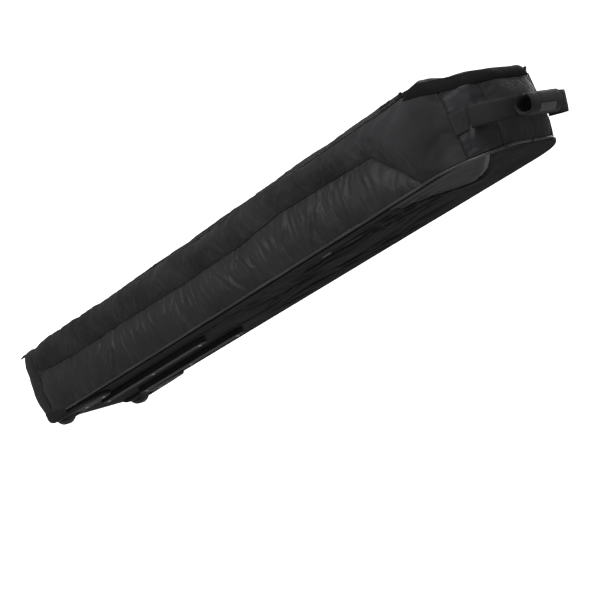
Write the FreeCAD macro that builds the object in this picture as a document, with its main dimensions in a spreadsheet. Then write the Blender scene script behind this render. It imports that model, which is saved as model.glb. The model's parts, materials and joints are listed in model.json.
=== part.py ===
import FreeCAD, Part
import os
import Sketcher
from FreeCAD import Placement, Rotation, Vector

# A padded, wheeled snowboard bag. All lengths are millimetres, angles degrees.
#
# Bag frame: X runs from the wheeled tail to the nose, -Y is the zipped side,
# +Y the lid's hinge side, +Z is up, and the base fabric lies in z = 0.
# Every sub-part is built in the bag frame. The finished nodes are then set down
# on the ground together: the wheels lift the tail, so the bag leans by a small
# tilt until the underside of its nose meets the floor at z = 0.

DIMENSIONS = {
    "body_length": 1640, "body_width": 330, "body_height": 205,
    "wall": 9, "base_skin": 3, "board": 3, "floor_pad": 6, "tub_height": 8,
    "tail_radius": 40, "nose_radius": 125, "far_top_radius": 42, "tail_top_radius": 40,
    "nose_base_radius": 20, "nose_rake": 28, "nose_rake_height": 45,
    "nose_drop": 30, "droop_start": 1450, "facet_run": 50, "facet_angle": 30,
    "tail_panel_end": 62, "nose_panel_start": 1565, "side_seam_height": 118,
    "piping_radius": 2.5, "piping_end_y": 90,
    "lid_tail": 92, "lid_hinge_y": 122, "lid_gap": 0.5, "lid_cut_reach": 40,
    "lid_nose_start": 1503, "lid_nose_height": 150,
    "tape_width": 13, "tape_thick": 1, "chain_width": 3, "chain_height": 2.6, "zip_parting": 0.3,
    "zip_start": 62, "zip_end": 1500, "cross_gap": 2,
    "tab_length": 62, "tab_half": 9, "tab_thick": 2.4,
    "flap_lift": 0.6, "flap_start": 1503, "flap_below": 8, "flap_above": 18,
    "slider_length": 24, "slider_half_width": 7, "slider_height": 6.5, "slider_clear": 0.8,
    "tail_slider_x": 120, "nose_slider_x": 1480, "pin_radius": 1.1, "pin_clear": 0.05, "pin_height": 8.8,
    "post_half": 3, "post_inner": 4.5, "post_outer": 6.5, "post_above": 2,
    "pull_length": 32, "pull_width": 7, "eye_wall": 1.2, "tongue_start": 1.5, "tongue_half": 0.8,
    "pull_grip_length": 26, "pull_grip_half": 5, "pull_grip_rise": 2,
    "wheel_radius": 45, "wheel_width": 26, "wheel_x": 64, "wheel_y": 129,
    "wheel_drop": 22, "hub_radius": 31, "tyre_shoulder": 6,
    "well_gap": 4, "well_side_gap": 3, "well_wall": 2.5,
    "axle_radius": 4, "axle_clear": 0.05, "bearing_radius": 11, "bearing_width": 7,
    "housing_length": 255, "housing_reach": 70, "housing_depth": 9,
    "shoe_start": 8, "shoe_edge": 4, "shoe_tip_half": 18, "shoe_tip_round": 12,
    "lip_thick": 3, "lip_height": 24, "lip_length": 118,
    "rail_start": 150, "rail_length": 440, "rail_width": 28, "rail_height": 12, "rail_y": 66,
    "round_margin": 0.5,
    "screw_head": 5, "screw_head_height": 2, "screw_shank": 2, "screw_depth": 6,
    "front_screw": 22, "back_screw": 100, "rail_screw": 22,
    "strap_width": 46, "strap_thick": 3, "strap_height": 80, "strap_root": 1610, "strap_front": 1684,
    "strap_half": 138, "strap_corner": 45, "strap_lean": 15,
    "anchor_start": 1572, "anchor_length": 26, "anchor_thick": 2, "patch_thick": 3.2,
    "grip_radius": 17, "grip_wall": 4, "grip_length": 112, "grip_aside": 34,
    "sleeve_from": 60, "sleeve_angle": 240,
    "cover_gap": 0.4, "cover_thick": 3, "cover_from": -80, "cover_angle": 145,
    "label_thick": 0.8, "label_from": -52, "label_angle": 40, "label_length": 54,
    "handle_start": 700, "handle_length": 240, "handle_reach": 30, "handle_height": 128,
    "handle_width": 32, "handle_anchor": 34,
    "floor_strap_width": 38, "floor_strap_thick": 1.5, "floor_strap_inset": 3,
    "floor_strap_tail": 470, "floor_strap_nose": 1090,
    "buckle_length": 54, "buckle_width": 44, "buckle_height": 8,
    "nose_contact": 1601, "origin_x": 861.9, "origin_y": 13.5,
    "beyond": 60, "overrun": 1,     # how far a cutting block runs past the bag, and past a face
}

doc = FreeCAD.newDocument("snowboard_bag")
sheet = doc.addObject("Spreadsheet::Sheet", "Dim")
for row, (alias, value) in enumerate(DIMENSIONS.items(), start=1):
    sheet.set(f"A{row}", alias)
    sheet.set(f"B{row}", str(value))
    sheet.setAlias(f"B{row}", alias)
doc.recompute()

nodes = []          # finished nodes, each exported to its own file


def bound(text):
    """Turn the plain words of a formula into references to the sheet's cells."""
    words = text.replace("(", "( ").replace(")", " )").split()
    return " ".join(f"Dim.{word}" if word in DIMENSIONS else word for word in words)


def place(feature, x="0", y="0", z="0"):
    feature.setExpression("Placement.Base.x", bound(x))
    feature.setExpression("Placement.Base.y", bound(y))
    feature.setExpression("Placement.Base.z", bound(z))


def box(name, x, y, z):
    """A block between a low and a high formula on each axis."""
    block = doc.addObject("Part::Box", name)
    for size, (low, high) in (("Length", x), ("Width", y), ("Height", z)):
        block.setExpression(size, bound(f"( {high} ) - ( {low} )"))
    place(block, x[0], y[0], z[0])
    return block


def facet_box(name, x, across, normal):
    """A block laid on the sloped zip facet: across it, and out along its normal."""
    block = doc.addObject("Part::Box", name)
    for size, (low, high) in (("Length", x), ("Width", across), ("Height", normal)):
        block.setExpression(size, bound(f"( {high} ) - ( {low} )"))
    block.Placement.Rotation = Rotation(Vector(1, 0, 0), 1)
    block.setExpression("Placement.Rotation.Angle", bound("facet_angle"))
    place(block, x[0],
          f"{ZIP_Y} + ( {across[0]} ) * cos( facet_angle ) - ( {normal[0]} ) * sin( facet_angle )",
          f"{ZIP_Z} + ( {across[0]} ) * sin( facet_angle ) + ( {normal[0]} ) * cos( facet_angle )")
    return block


def cylinder_y(name, x, y, z, radius, length):
    """A cylinder along +Y, from its low end."""
    rod = doc.addObject("Part::Cylinder", name)
    rod.setExpression("Radius", bound(radius))
    rod.setExpression("Height", bound(length))
    rod.Placement.Rotation = Rotation(Vector(1, 0, 0), -90)
    place(rod, x, y, z)
    return rod


def cylinder_z(name, x, y, z, radius, length):
    rod = doc.addObject("Part::Cylinder", name)
    rod.setExpression("Radius", bound(radius))
    rod.setExpression("Height", bound(length))
    place(rod, x, y, z)
    return rod


def cut(name, base, *tools):
    tool = tools[0] if len(tools) == 1 else fuse(name + "_tools", *tools)
    result = doc.addObject("Part::Cut", name)
    result.Base, result.Tool = base, tool
    return result


def fuse(name, *shapes):
    result = doc.addObject("Part::MultiFuse", name)
    result.Shapes = list(shapes)
    return result


def common(name, first, second):
    result = doc.addObject("Part::Common", name)
    result.Base, result.Tool = first, second
    return result


def node(label, *solids):
    """Finish a sub-part: its solids in one group, set down on the ground."""
    group = doc.addObject("Part::Compound", "Node_" + label)
    group.Links = list(solids)
    group.Label = label
    group.Placement.Rotation = Rotation(Vector(0, 1, 0), 1)
    tilt = "asin( wheel_drop / ( nose_contact - wheel_x ) )"
    group.setExpression("Placement.Rotation.Angle", bound(tilt))
    place(group, "- origin_x", "- origin_y", f"nose_contact * sin( {tilt} )")
    nodes.append(group)


def origin_plane(body, role):
    return next(item for item in body.Origin.OriginFeatures if item.Role == role)


def pinned_outline(body, name, role, corners, offset):
    """A closed sketch polygon whose corners are pinned by formulas."""
    sketch = body.newObject("Sketcher::SketchObject", name)
    sketch.AttachmentSupport = [(origin_plane(body, role), "")]
    sketch.MapMode = "FlatFace"
    sketch.setExpression("AttachmentOffset.Base.z", bound(offset))
    count = len(corners)
    turn = Rotation(Vector(0, 0, 1), 360 / count)
    start = [Vector(100, 0, 0)]
    for _ in range(count - 1):
        start.append(turn.multVec(start[-1]))
    for index in range(count):
        sketch.addGeometry(Part.LineSegment(start[index], start[(index + 1) % count]), False)
    for index in range(count):
        sketch.addConstraint(Sketcher.Constraint("Coincident", index, 2, (index + 1) % count, 1))
    for index, corner in enumerate(corners):
        for kind, formula, value in (("DistanceX", corner[0], start[index].x),
                                     ("DistanceY", corner[1], start[index].y)):
            pin = sketch.addConstraint(Sketcher.Constraint(kind, -1, 1, index, 1, value))
            sketch.setExpression(f"Constraints[{pin}]", bound(formula))
    return sketch


def prism(name, role, corners, depth, offset="0", rounds=(), symmetric=True):
    """A padded outline. rounds lists (corner number, radius formula) pairs."""
    body = doc.addObject("PartDesign::Body", name)
    sketch = pinned_outline(body, name + "_outline", role, corners, offset)
    pad = body.newObject("PartDesign::Pad", name + "_pad")
    pad.Profile = sketch
    pad.Midplane = symmetric
    pad.setExpression("Length", bound(depth))
    doc.recompute()
    for corner, radius in rounds:
        point = sketch.Shape.Vertexes[corner].Point
        solid = body.Tip
        edge = upright_edge(solid.Shape, sketch, point)
        fillet = body.newObject("PartDesign::Fillet", f"{name}_round_{corner}")
        fillet.Base = (solid, [edge])
        fillet.setExpression("Radius", bound(radius))
        body.Tip = fillet
        doc.recompute()
    return body


def upright_edge(shape, sketch, point):
    """The name of the padded edge that stands on a corner of the outline."""
    normal = sketch.Placement.Rotation.multVec(Vector(0, 0, 1))
    for number, edge in enumerate(shape.Edges, start=1):
        ends = [vertex.Point - point for vertex in edge.Vertexes]
        off_axis = [(end - normal * end.dot(normal)).Length for end in ends]
        if len(ends) == 2 and max(off_axis) < 0.01:
            return f"Edge{number}"
    raise ValueError("no edge stands on that corner")


# --- the padded body ---------------------------------------------------------

ZIP_Y = "facet_run / 2 - body_width / 2"
ZIP_Z = "body_height - facet_run / 2 * tan( facet_angle )"
FACET_DROP = "facet_run * tan( facet_angle )"
EVERYWHERE = ("- beyond", "body_length + beyond")
ACROSS = ("- body_width", "body_width")


def envelope(name, inset, floor):
    """The bag's outer form drawn in by an inset, with its underside at a floor."""
    plan = prism(f"{name}_plan", "XY_Plane",
                 [(f"{inset}", f"{inset} - body_width / 2"),
                  (f"body_length - {inset}", f"{inset} - body_width / 2"),
                  (f"body_length - {inset}", f"body_width / 2 - {inset}"),
                  (f"{inset}", f"body_width / 2 - {inset}")],
                 "4 * body_height", "0",
                 [(0, f"tail_radius - {inset}"), (1, f"nose_radius - {inset}"),
                  (2, f"nose_radius - {inset}"), (3, f"tail_radius - {inset}")])
    side = prism(f"{name}_side", "XZ_Plane",
                 [(f"{inset}", floor),
                  (f"body_length - nose_rake - {inset}", floor),
                  (f"body_length - {inset}", "nose_rake_height"),
                  (f"body_length - {inset}", f"body_height - nose_drop - {inset}"),
                  ("droop_start", f"body_height - {inset}"),
                  (f"{inset}", f"body_height - {inset}")],
                 "3 * body_width", "0",
                 [(1, "nose_base_radius"), (3, f"tail_top_radius - {inset}"),
                  (5, f"tail_top_radius - {inset}")])
    section = prism(f"{name}_section", "YZ_Plane",
                    [(f"{inset} - body_width / 2", floor),
                     (f"body_width / 2 - {inset}", floor),
                     (f"body_width / 2 - {inset}", f"body_height - {inset}"),
                     (f"facet_run - body_width / 2 + {inset} * tan( facet_angle / 2 )",
                      f"body_height - {inset}"),
                     (f"{inset} - body_width / 2",
                      f"body_height - {FACET_DROP} - {inset} * tan( facet_angle )")],
                    "3 * body_length", "0",
                    [(2, f"far_top_radius - {inset}")])
    form = doc.addObject("Part::MultiCommon", name)
    form.Shapes = [plan, side, section]
    return form


def lid_zone(name, gap):
    """The part of the form that lifts with the lid, drawn in by a gap all round."""
    low = f"lid_nose_height + {gap}"
    top = prism(f"{name}_top", "YZ_Plane",
                [(f"{ZIP_Y} - lid_cut_reach * tan( facet_angle ) + {gap}", f"{ZIP_Z} + lid_cut_reach"),
                 (f"{ZIP_Y} + ( {ZIP_Z} - ( {low} ) ) * tan( facet_angle ) + {gap}", low),
                 (f"lid_hinge_y - {gap}", low),
                 (f"lid_hinge_y - {gap}", "body_height + beyond")],
                f"body_length - lid_tail - {gap} + beyond", f"lid_tail + {gap}", (), False)
    nose = box(f"{name}_nose", (f"lid_nose_start + {gap}", "body_length + beyond"),
               ("- body_width", f"lid_hinge_y - {gap}"),
               (low, "body_height + beyond"))
    return fuse(name, top, nose)


outer = envelope("outer", "0", "0")
hollow = envelope("hollow", "wall", "base_skin")
rim = envelope("rim", "( - piping_radius )", "( - piping_radius )")
corner_form = envelope("corner_form", "( - lip_thick )", "( - lip_thick )")
flap_inside = envelope("flap_inside", "( - flap_lift )", "( - flap_lift )")
anchor_form = envelope("anchor_form", "( - anchor_thick )", "( - anchor_thick )")
shell = cut("shell", outer, hollow)
lid_room = lid_zone("lid_room", "0")
lid_form = lid_zone("lid_form", "lid_gap")


# --- wheels, axles and their moulded corner housings ----------------------------

WHEEL_Z = "wheel_radius - wheel_drop"
WELL_X = ("wheel_x - wheel_radius - well_gap", "wheel_x + wheel_radius + well_gap")
WELL_TOP = "2 * wheel_radius - wheel_drop + well_gap"
WELL_HALF = "wheel_width / 2 + well_side_gap"


def side_span(side, near, far):
    """Distances from the bag's middle as a low-to-high Y range on one side."""
    return (f"0 - ( {far} )", f"0 - ( {near} )") if side == "near" else (near, far)


def well_box(name, side, grow, low):
    return box(name, (f"{WELL_X[0]} - {grow}", f"{WELL_X[1]} + {grow}"),
               side_span(side, f"wheel_y - ( {WELL_HALF} ) - {grow}", f"wheel_y + {WELL_HALF} + {grow}"),
               (low, f"{WELL_TOP} + {grow}"))


def screw_places(side):
    """Two screws at the front of the housing, three along the skid rail."""
    sign = "0 -" if side == "near" else "0 +"
    housing = [(f"housing_length - {back}", f"{sign} wheel_y") for back in ("front_screw", "back_screw")]
    rail = [(f"rail_start + {along}", f"{sign} rail_y")
            for along in ("rail_screw", "rail_length / 2", "rail_length - rail_screw")]
    return housing, rail


def screw_holes(name, places):
    """One hole for each screw, from under the bag up to the screw's tip."""
    return [cylinder_z(f"{name}_{number}", x, y, "- beyond", "screw_shank", "beyond + screw_depth")
            for number, (x, y) in enumerate(places)]


well_blocks = []
all_screw_holes = []
for side in ("near", "far"):
    sign = "0 -" if side == "near" else "0 +"
    housing_screws, rail_screws = screw_places(side)
    well_blocks.append(well_box(f"well_block_{side}", side, "well_wall", "- beyond"))
    all_screw_holes += screw_holes(f"screw_hole_{side}", housing_screws + rail_screws)

    # The housing: a moulded shoe under the corner, a lip up its side and a closed wheel well.
    corner = box(f"corner_{side}", ("- beyond", "lip_length"),
                 side_span(side, "body_width / 2 - housing_reach", "body_width"),
                 ("- beyond", "lip_height"))
    lip = common(f"lip_{side}", cut(f"lip_form_{side}", corner_form, outer), corner)
    low_y, high_y = side_span(side, "body_width / 2 - housing_reach", "body_width / 2 - shoe_edge")
    shoe = prism(f"shoe_{side}", "XY_Plane",
                 [("shoe_start", low_y), ("lip_length", low_y),
                  ("housing_length", f"{sign} wheel_y - shoe_tip_half"),
                  ("housing_length", f"{sign} wheel_y + shoe_tip_half"),
                  ("lip_length", high_y), ("shoe_start", high_y)],
                 "housing_depth", "- housing_depth",
                 [(2, "shoe_tip_round"), (3, "shoe_tip_round")], False)
    well_outer = well_box(f"well_outer_{side}", side, "well_wall", "0")
    well_inner = well_box(f"well_inner_{side}", side, "0", "- beyond")
    axle_y = f"{sign} wheel_y - ( {WELL_HALF} ) - well_wall"
    axle_length = f"2 * ( {WELL_HALF} + well_wall )"
    axle_hole = cylinder_y(f"axle_hole_{side}", "wheel_x", f"{axle_y} - overrun", WHEEL_Z,
                           "axle_radius", f"{axle_length} + 2 * overrun")
    plate_holes = screw_holes(f"shoe_hole_{side}", housing_screws)
    node(f"wheel_housing_{side}",
         cut(f"housing_{side}", fuse(f"housing_solid_{side}", lip, shoe, well_outer),
             well_inner, axle_hole, *plate_holes))

    # The wheel turns on two sealed bearings pressed into its hub.
    node(f"axle_{side}",
         cylinder_y(f"axle_rod_{side}", "wheel_x", axle_y, WHEEL_Z, "axle_radius", axle_length))
    tyre = doc.addObject("PartDesign::Body", f"tyre_ring_{side}")
    outline = pinned_outline(tyre, f"tyre_outline_{side}", "YZ_Plane",
                             [("- wheel_width / 2", "hub_radius"),
                              ("- wheel_width / 2", "wheel_radius - tyre_shoulder"),
                              ("tyre_shoulder - wheel_width / 2", "wheel_radius"),
                              ("wheel_width / 2 - tyre_shoulder", "wheel_radius"),
                              ("wheel_width / 2", "wheel_radius - tyre_shoulder"),
                              ("wheel_width / 2", "hub_radius")], "0")
    turned = tyre.newObject("PartDesign::Revolution", f"tyre_turn_{side}")
    turned.Profile = outline
    turned.ReferenceAxis = (outline, ["H_Axis"])
    turned.Angle = 360
    place(tyre, "wheel_x", f"{sign} wheel_y", WHEEL_Z)
    node(f"wheel_tyre_{side}", tyre)
    hub_y = f"{sign} wheel_y - wheel_width / 2"
    hub = cut(f"hub_{side}",
              cylinder_y(f"hub_disc_{side}", "wheel_x", hub_y, WHEEL_Z, "hub_radius", "wheel_width"),
              cylinder_y(f"hub_bore_{side}", "wheel_x", f"{hub_y} - overrun", WHEEL_Z,
                         "bearing_radius", "wheel_width + 2 * overrun"))
    node(f"wheel_hub_{side}", hub)
    bearings = []
    for end, start in (("inner", hub_y), ("outer", f"{hub_y} + wheel_width - bearing_width")):
        ring = cylinder_y(f"bearing_ring_{side}_{end}", "wheel_x", start, WHEEL_Z,
                          "bearing_radius", "bearing_width")
        bore = cylinder_y(f"bearing_bore_{side}_{end}", "wheel_x", f"{start} - overrun", WHEEL_Z,
                          "axle_radius + axle_clear", "bearing_width + 2 * overrun")
        bearings.append(cut(f"bearing_{side}_{end}", ring, bore))
    node(f"wheel_bearings_{side}", *bearings)

    # A moulded skid rail with rounded ends, and the screws that hold rail and housing.
    low_y, high_y = side_span(side, "rail_y - rail_width / 2", "rail_y + rail_width / 2")
    rail = prism(f"rail_bar_{side}", "XY_Plane",
                 [("rail_start", low_y), ("rail_start + rail_length", low_y),
                  ("rail_start + rail_length", high_y), ("rail_start", high_y)],
                 "rail_height", "- rail_height",
                 [(number, "rail_width / 2 - round_margin") for number in range(4)], False)
    rail_holes = screw_holes(f"rail_hole_{side}", rail_screws)
    node(f"skid_rail_{side}", cut(f"rail_{side}", rail, *rail_holes))
    for name, places, underside in (("housing", housing_screws, "housing_depth"),
                                    ("rail", rail_screws, "rail_height")):
        fasteners = []
        for number, (x, y) in enumerate(places):
            head = cylinder_z(f"{name}_head_{side}_{number}", x, y, f"- {underside} - screw_head_height",
                              "screw_head", "screw_head_height")
            shank = cylinder_z(f"{name}_shank_{side}_{number}", x, y, f"- {underside}",
                               "screw_shank", f"{underside} + screw_depth")
            fasteners.append(fuse(f"{name}_screw_{side}_{number}", head, shank))
        node(f"{name}_screws_{side}", *fasteners)


# --- soft panels, liner board and padding ----------------------------------------

ABOVE_TUB = ("tub_height", "body_height + beyond")
fixed_shell = cut("fixed_shell", shell, lid_room, *well_blocks, *all_screw_holes)
for label, along, heights in (("base_tub", EVERYWHERE, ("- beyond", "tub_height")),
                              ("tail_end_panel", ("- beyond", "tail_panel_end"), ABOVE_TUB),
                              ("nose_end_panel", ("nose_panel_start", "body_length + beyond"), ABOVE_TUB)):
    node(label, common(f"{label}_form", fixed_shell, box(f"{label}_zone", along, ACROSS, heights)))
for side, span in (("near", ("- body_width", "0")), ("far", ("0", "body_width"))):
    for level, heights in (("lower", ("tub_height", "side_seam_height")),
                           ("upper", ("side_seam_height", "body_height + beyond"))):
        zone = box(f"{level}_{side}_zone", ("tail_panel_end", "nose_panel_start"), span, heights)
        node(f"side_{level}_{side}", common(f"side_{level}_{side}_form", fixed_shell, zone))
node("lid_panel", common("lid_panel_form", shell, lid_form))

for label, low, high in (("stiffener_board", "base_skin", "base_skin + board"),
                         ("floor_padding", "base_skin + board", "base_skin + board + floor_pad")):
    layer = common(f"{label}_form", hollow, box(f"{label}_zone", EVERYWHERE, ACROSS, (low, high)))
    node(label, cut(f"{label}_cut", layer, *well_blocks, *all_screw_holes))

FLOOR_TOP = "base_skin + board + floor_pad"
for end, centre in (("tail", "floor_strap_tail"), ("nose", "floor_strap_nose")):
    web_x = (f"{centre} - floor_strap_width / 2", f"{centre} + floor_strap_width / 2")
    web_half = "body_width / 2 - wall - floor_strap_inset"
    web_top = f"{FLOOR_TOP} + floor_strap_thick"
    node(f"floor_strap_{end}",
         box(f"floor_strap_{end}_web", web_x, (f"0 - ( {web_half} )", web_half), (FLOOR_TOP, web_top)))
    node(f"floor_buckle_{end}",
         box(f"floor_buckle_{end}_block",
             (f"{centre} - buckle_length / 2", f"{centre} + buckle_length / 2"),
             ("- buckle_width / 2", "buckle_width / 2"), (web_top, f"{web_top} + buckle_height")))

# Piping along both base edges, in front of the corner housings.
piping_ring = cut("piping_ring", rim, outer)
for side in ("near", "far"):
    node(f"base_piping_{side}",
         common(f"piping_{side}_form", piping_ring,
                box(f"piping_{side}_zone", ("lip_length", "body_length + beyond"),
                    side_span(side, "piping_end_y", "body_width"),
                    ("tub_height - piping_radius", "tub_height + piping_radius"))))


# --- zip, sliders and pulls ------------------------------------------------------

WALL_HALF = ("wall", ("- tape_width", "- zip_parting"), ("- chain_width", "- zip_parting"))
for half, tape, chain in (WALL_HALF, ("lid", ("zip_parting", "tape_width"), ("zip_parting", "chain_width"))):
    start = "zip_start" if half == "wall" else "lid_tail + tape_width + cross_gap"
    node(f"zip_tape_{half}",
         fuse(f"zip_{half}", facet_box(f"tape_{half}", (start, "zip_end"), tape, ("0", "tape_thick")),
              facet_box(f"chain_{half}", (start, "zip_end"), chain, ("0", "chain_height"))))

# The short zip across the tail end of the lid lies on the flat top.
CROSS_Y = ("facet_run - body_width / 2 + 2 * cross_gap", "lid_hinge_y - cross_gap")
LID_EDGE = "zip_parting + lid_gap"
for half, tape, chain in (WALL_HALF, ("lid", (LID_EDGE, "tape_width"), (LID_EDGE, "chain_width + lid_gap"))):
    spans = [tuple(f"lid_tail + ( {edge} )" for edge in pair) for pair in (tape, chain)]
    node(f"cross_zip_{half}",
         fuse(f"cross_{half}",
              box(f"cross_tape_{half}", spans[0], CROSS_Y, ("body_height", "body_height + tape_thick")),
              box(f"cross_chain_{half}", spans[1], CROSS_Y, ("body_height", "body_height + chain_height"))))

# A short webbing tab at the zip's tail end stands out past the rounded corner.
node("zip_end_tab", facet_box("zip_end_tab_web", ("zip_start - tab_length", "zip_start"),
                              ("- tab_half", "tab_half"), ("0", "tab_thick")))

# Storm flap that hides the zip round the nose; it is sewn to the lid. It ends where the
# far nose corner begins, because further round it would press into the wall as the lid turns.
flap_zone = box("flap_zone", ("flap_start", "body_length + beyond"),
                ("- body_width", "body_width / 2 - nose_radius"),
                ("lid_nose_height - flap_below", "lid_nose_height + flap_above"))
node("zip_storm_flap", common("storm_flap_form", cut("flap_skin", corner_form, flap_inside), flap_zone))


def facet_rod(name, x, length, radius):
    """A rod centred on the zip line, lying across the facet at the height of a slider's pin."""
    rod = doc.addObject("Part::Cylinder", name)
    rod.setExpression("Radius", bound(radius))
    rod.setExpression("Height", bound(length))
    rod.Placement.Rotation = Rotation(Vector(-1, 0, 0), 1)
    rod.setExpression("Placement.Rotation.Angle", bound("90 - facet_angle"))
    place(rod, x,
          f"{ZIP_Y} - ( {length} ) / 2 * cos( facet_angle ) - pin_height * sin( facet_angle )",
          f"{ZIP_Z} - ( {length} ) / 2 * sin( facet_angle ) + pin_height * cos( facet_angle )")
    return rod


def pointing(direction, start, end):
    """A stretch from start to end, laid towards the nose (1) or towards the tail (-1)."""
    return (start, end) if direction > 0 else (f"0 - ( {end} )", f"0 - ( {start} )")


def slider(end, centre, direction):
    """A channel that rides over the zip chain, with a pull hinged on its bail."""
    half = "slider_length / 2"
    span = (f"{centre} - {half}", f"{centre} + {half}")
    flange_low = "tape_thick + slider_clear"
    block = facet_box(f"slider_block_{end}", span, ("- slider_half_width", "slider_half_width"),
                      (flange_low, "slider_height"))
    channel = facet_box(f"slider_channel_{end}", (f"{span[0]} - overrun", f"{span[1]} + overrun"),
                        ("- chain_width - slider_clear", "chain_width + slider_clear"),
                        ("0", "chain_height + slider_clear"))
    post_x = (f"{centre} - post_half", f"{centre} + post_half")
    posts = [facet_box(f"slider_post_{end}_{name}", post_x, across,
                       ("slider_height", "pin_height + post_above"))
             for name, across in (("low", ("- post_outer", "- post_inner")),
                                  ("high", ("post_inner", "post_outer")))]
    pin = facet_rod(f"slider_pin_{end}", centre, "2 * post_inner", "pin_radius")
    node(f"slider_{end}", cut(f"slider_body_{end}", fuse(f"slider_solid_{end}", block, *posts, pin), channel))

    eye = facet_rod(f"pull_eye_{end}", centre, "pull_width", "pin_radius + eye_wall")
    bore = facet_rod(f"pull_bore_{end}", centre, "pull_width + 2 * overrun", "pin_radius + pin_clear")
    near_end, far_end = pointing(direction, "tongue_start", "pull_length")
    tongue = facet_box(f"pull_tongue_{end}", (f"{centre} + ( {near_end} )", f"{centre} + ( {far_end} )"),
                       ("- pull_width / 2", "pull_width / 2"),
                       ("pin_height - tongue_half", "pin_height + tongue_half"))
    node(f"slider_pull_{end}", cut(f"pull_{end}", fuse(f"pull_solid_{end}", eye, tongue), bore))
    grip_near, grip_far = pointing(direction, "pull_length", "pull_length + pull_grip_length")
    node(f"pull_grip_{end}",
         facet_box(f"pull_grip_web_{end}", (f"{centre} + ( {grip_near} )", f"{centre} + ( {grip_far} )"),
                   ("- pull_grip_half", "pull_grip_half"),
                   ("pin_height - pull_grip_rise", "pin_height + pull_grip_rise")))


slider("tail", "tail_slider_x", 1)
slider("nose", "nose_slider_x", -1)


# --- haul strap with its wrap-round grip, and the carry handle -----------------------

STRAP_Z = ("strap_height - strap_width / 2", "strap_height + strap_width / 2")


def lean(label, solid):
    """Finish a piece of the haul strap, which hangs down a little from its sewn ends."""
    group = doc.addObject("Part::Compound", f"{label}_leaning")
    group.Links = [solid]
    group.Placement.Rotation = Rotation(Vector(0, 1, 0), 1)
    group.setExpression("Placement.Rotation.Angle", bound("strap_lean"))
    place(group, "strap_root * ( 1 - cos( strap_lean ) ) - strap_height * sin( strap_lean )", "0",
          "strap_height * ( 1 - cos( strap_lean ) ) + strap_root * sin( strap_lean )")
    node(label, group)


def strap_block(name, shrink, start):
    """A block rounded at its two front corners: the outer or inner side of the haul strap."""
    half = f"strap_half - {shrink}"
    return prism(name, "XY_Plane",
                 [(start, f"0 - ( {half} )"), (f"strap_front - {shrink}", f"0 - ( {half} )"),
                  (f"strap_front - {shrink}", half), (start, half)],
                 f"strap_width + {shrink} * 2", f"{STRAP_Z[0]} - {shrink}",
                 [(1, f"strap_corner - {shrink}"), (2, f"strap_corner - {shrink}")], False)


lean("haul_strap", cut("haul_web", strap_block("haul_outer", "0", "strap_root"),
                       strap_block("haul_inner", "strap_thick", "strap_root - overrun")))
anchor_skin = cut("anchor_skin", anchor_form, outer)
for side in ("near", "far"):
    node(f"haul_anchor_{side}",
         common(f"haul_patch_{side}", anchor_skin,
                box(f"haul_patch_zone_{side}", ("anchor_start", "anchor_start + anchor_length"),
                    side_span(side, "0", "body_width"), STRAP_Z)))


def grip_sector(name, radius, first_angle, angle, length):
    """A pie slice round the grip's axis; angles are counted from +X towards +Z."""
    slice_ = doc.addObject("Part::Cylinder", name)
    slice_.setExpression("Radius", bound(radius))
    slice_.setExpression("Height", bound(length))
    slice_.setExpression("Angle", bound(angle))
    turn = Rotation(Vector(0, 1, 0), -DIMENSIONS[first_angle])
    slice_.Placement.Rotation = turn.multiply(Rotation(Vector(1, 0, 0), 90))
    place(slice_, "strap_front + grip_radius + grip_wall", f"( {length} ) / 2 - grip_aside", "strap_height")
    return slice_


def grip_shell(label, inner, thick, first_angle, angle, length):
    """A curved piece that wraps part of the way round the grip."""
    solid = grip_sector(f"{label}_solid", f"{inner} + {thick}", first_angle, angle, length)
    bore = cylinder_y(f"{label}_bore", "strap_front + grip_radius + grip_wall",
                      f"0 - ( {length} ) / 2 - grip_aside - overrun", "strap_height", inner,
                      f"{length} + 2 * overrun")
    lean(label, cut(f"{label}_shell", solid, bore))


COVER_INNER = "grip_radius + grip_wall + cover_gap"
grip_shell("grip_sleeve", "grip_radius", "grip_wall", "sleeve_from", "sleeve_angle", "grip_length")
grip_shell("grip_flap", COVER_INNER, "cover_thick", "cover_from", "cover_angle", "grip_length")
grip_shell("label_patch", f"{COVER_INNER} + cover_thick", "label_thick",
           "label_from", "label_angle", "label_length")

HANDLE_Y = "body_width / 2"
HANDLE_Z = ("handle_height", "handle_height + handle_width")
HANDLE_X = ("handle_start", "handle_start + handle_length")
handle_outer = box("handle_outer", HANDLE_X, (HANDLE_Y, f"{HANDLE_Y} + handle_reach"), HANDLE_Z)
handle_inner = box("handle_inner",
                   ("handle_start + strap_thick", "handle_start + handle_length - strap_thick"),
                   (f"{HANDLE_Y} - overrun", f"{HANDLE_Y} + handle_reach - strap_thick"),
                   (f"{HANDLE_Z[0]} - overrun", f"{HANDLE_Z[1]} + overrun"))
node("carry_handle", cut("carry_web", handle_outer, handle_inner))
for end, low, high in (("tail", "handle_start - handle_anchor", "handle_start"),
                       ("nose", HANDLE_X[1], f"{HANDLE_X[1]} + handle_anchor")):
    node(f"carry_anchor_{end}",
         box(f"carry_patch_{end}", (low, high), (HANDLE_Y, f"{HANDLE_Y} + patch_thick"), HANDLE_Z))


# --- checks and export -----------------------------------------------------------

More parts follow.
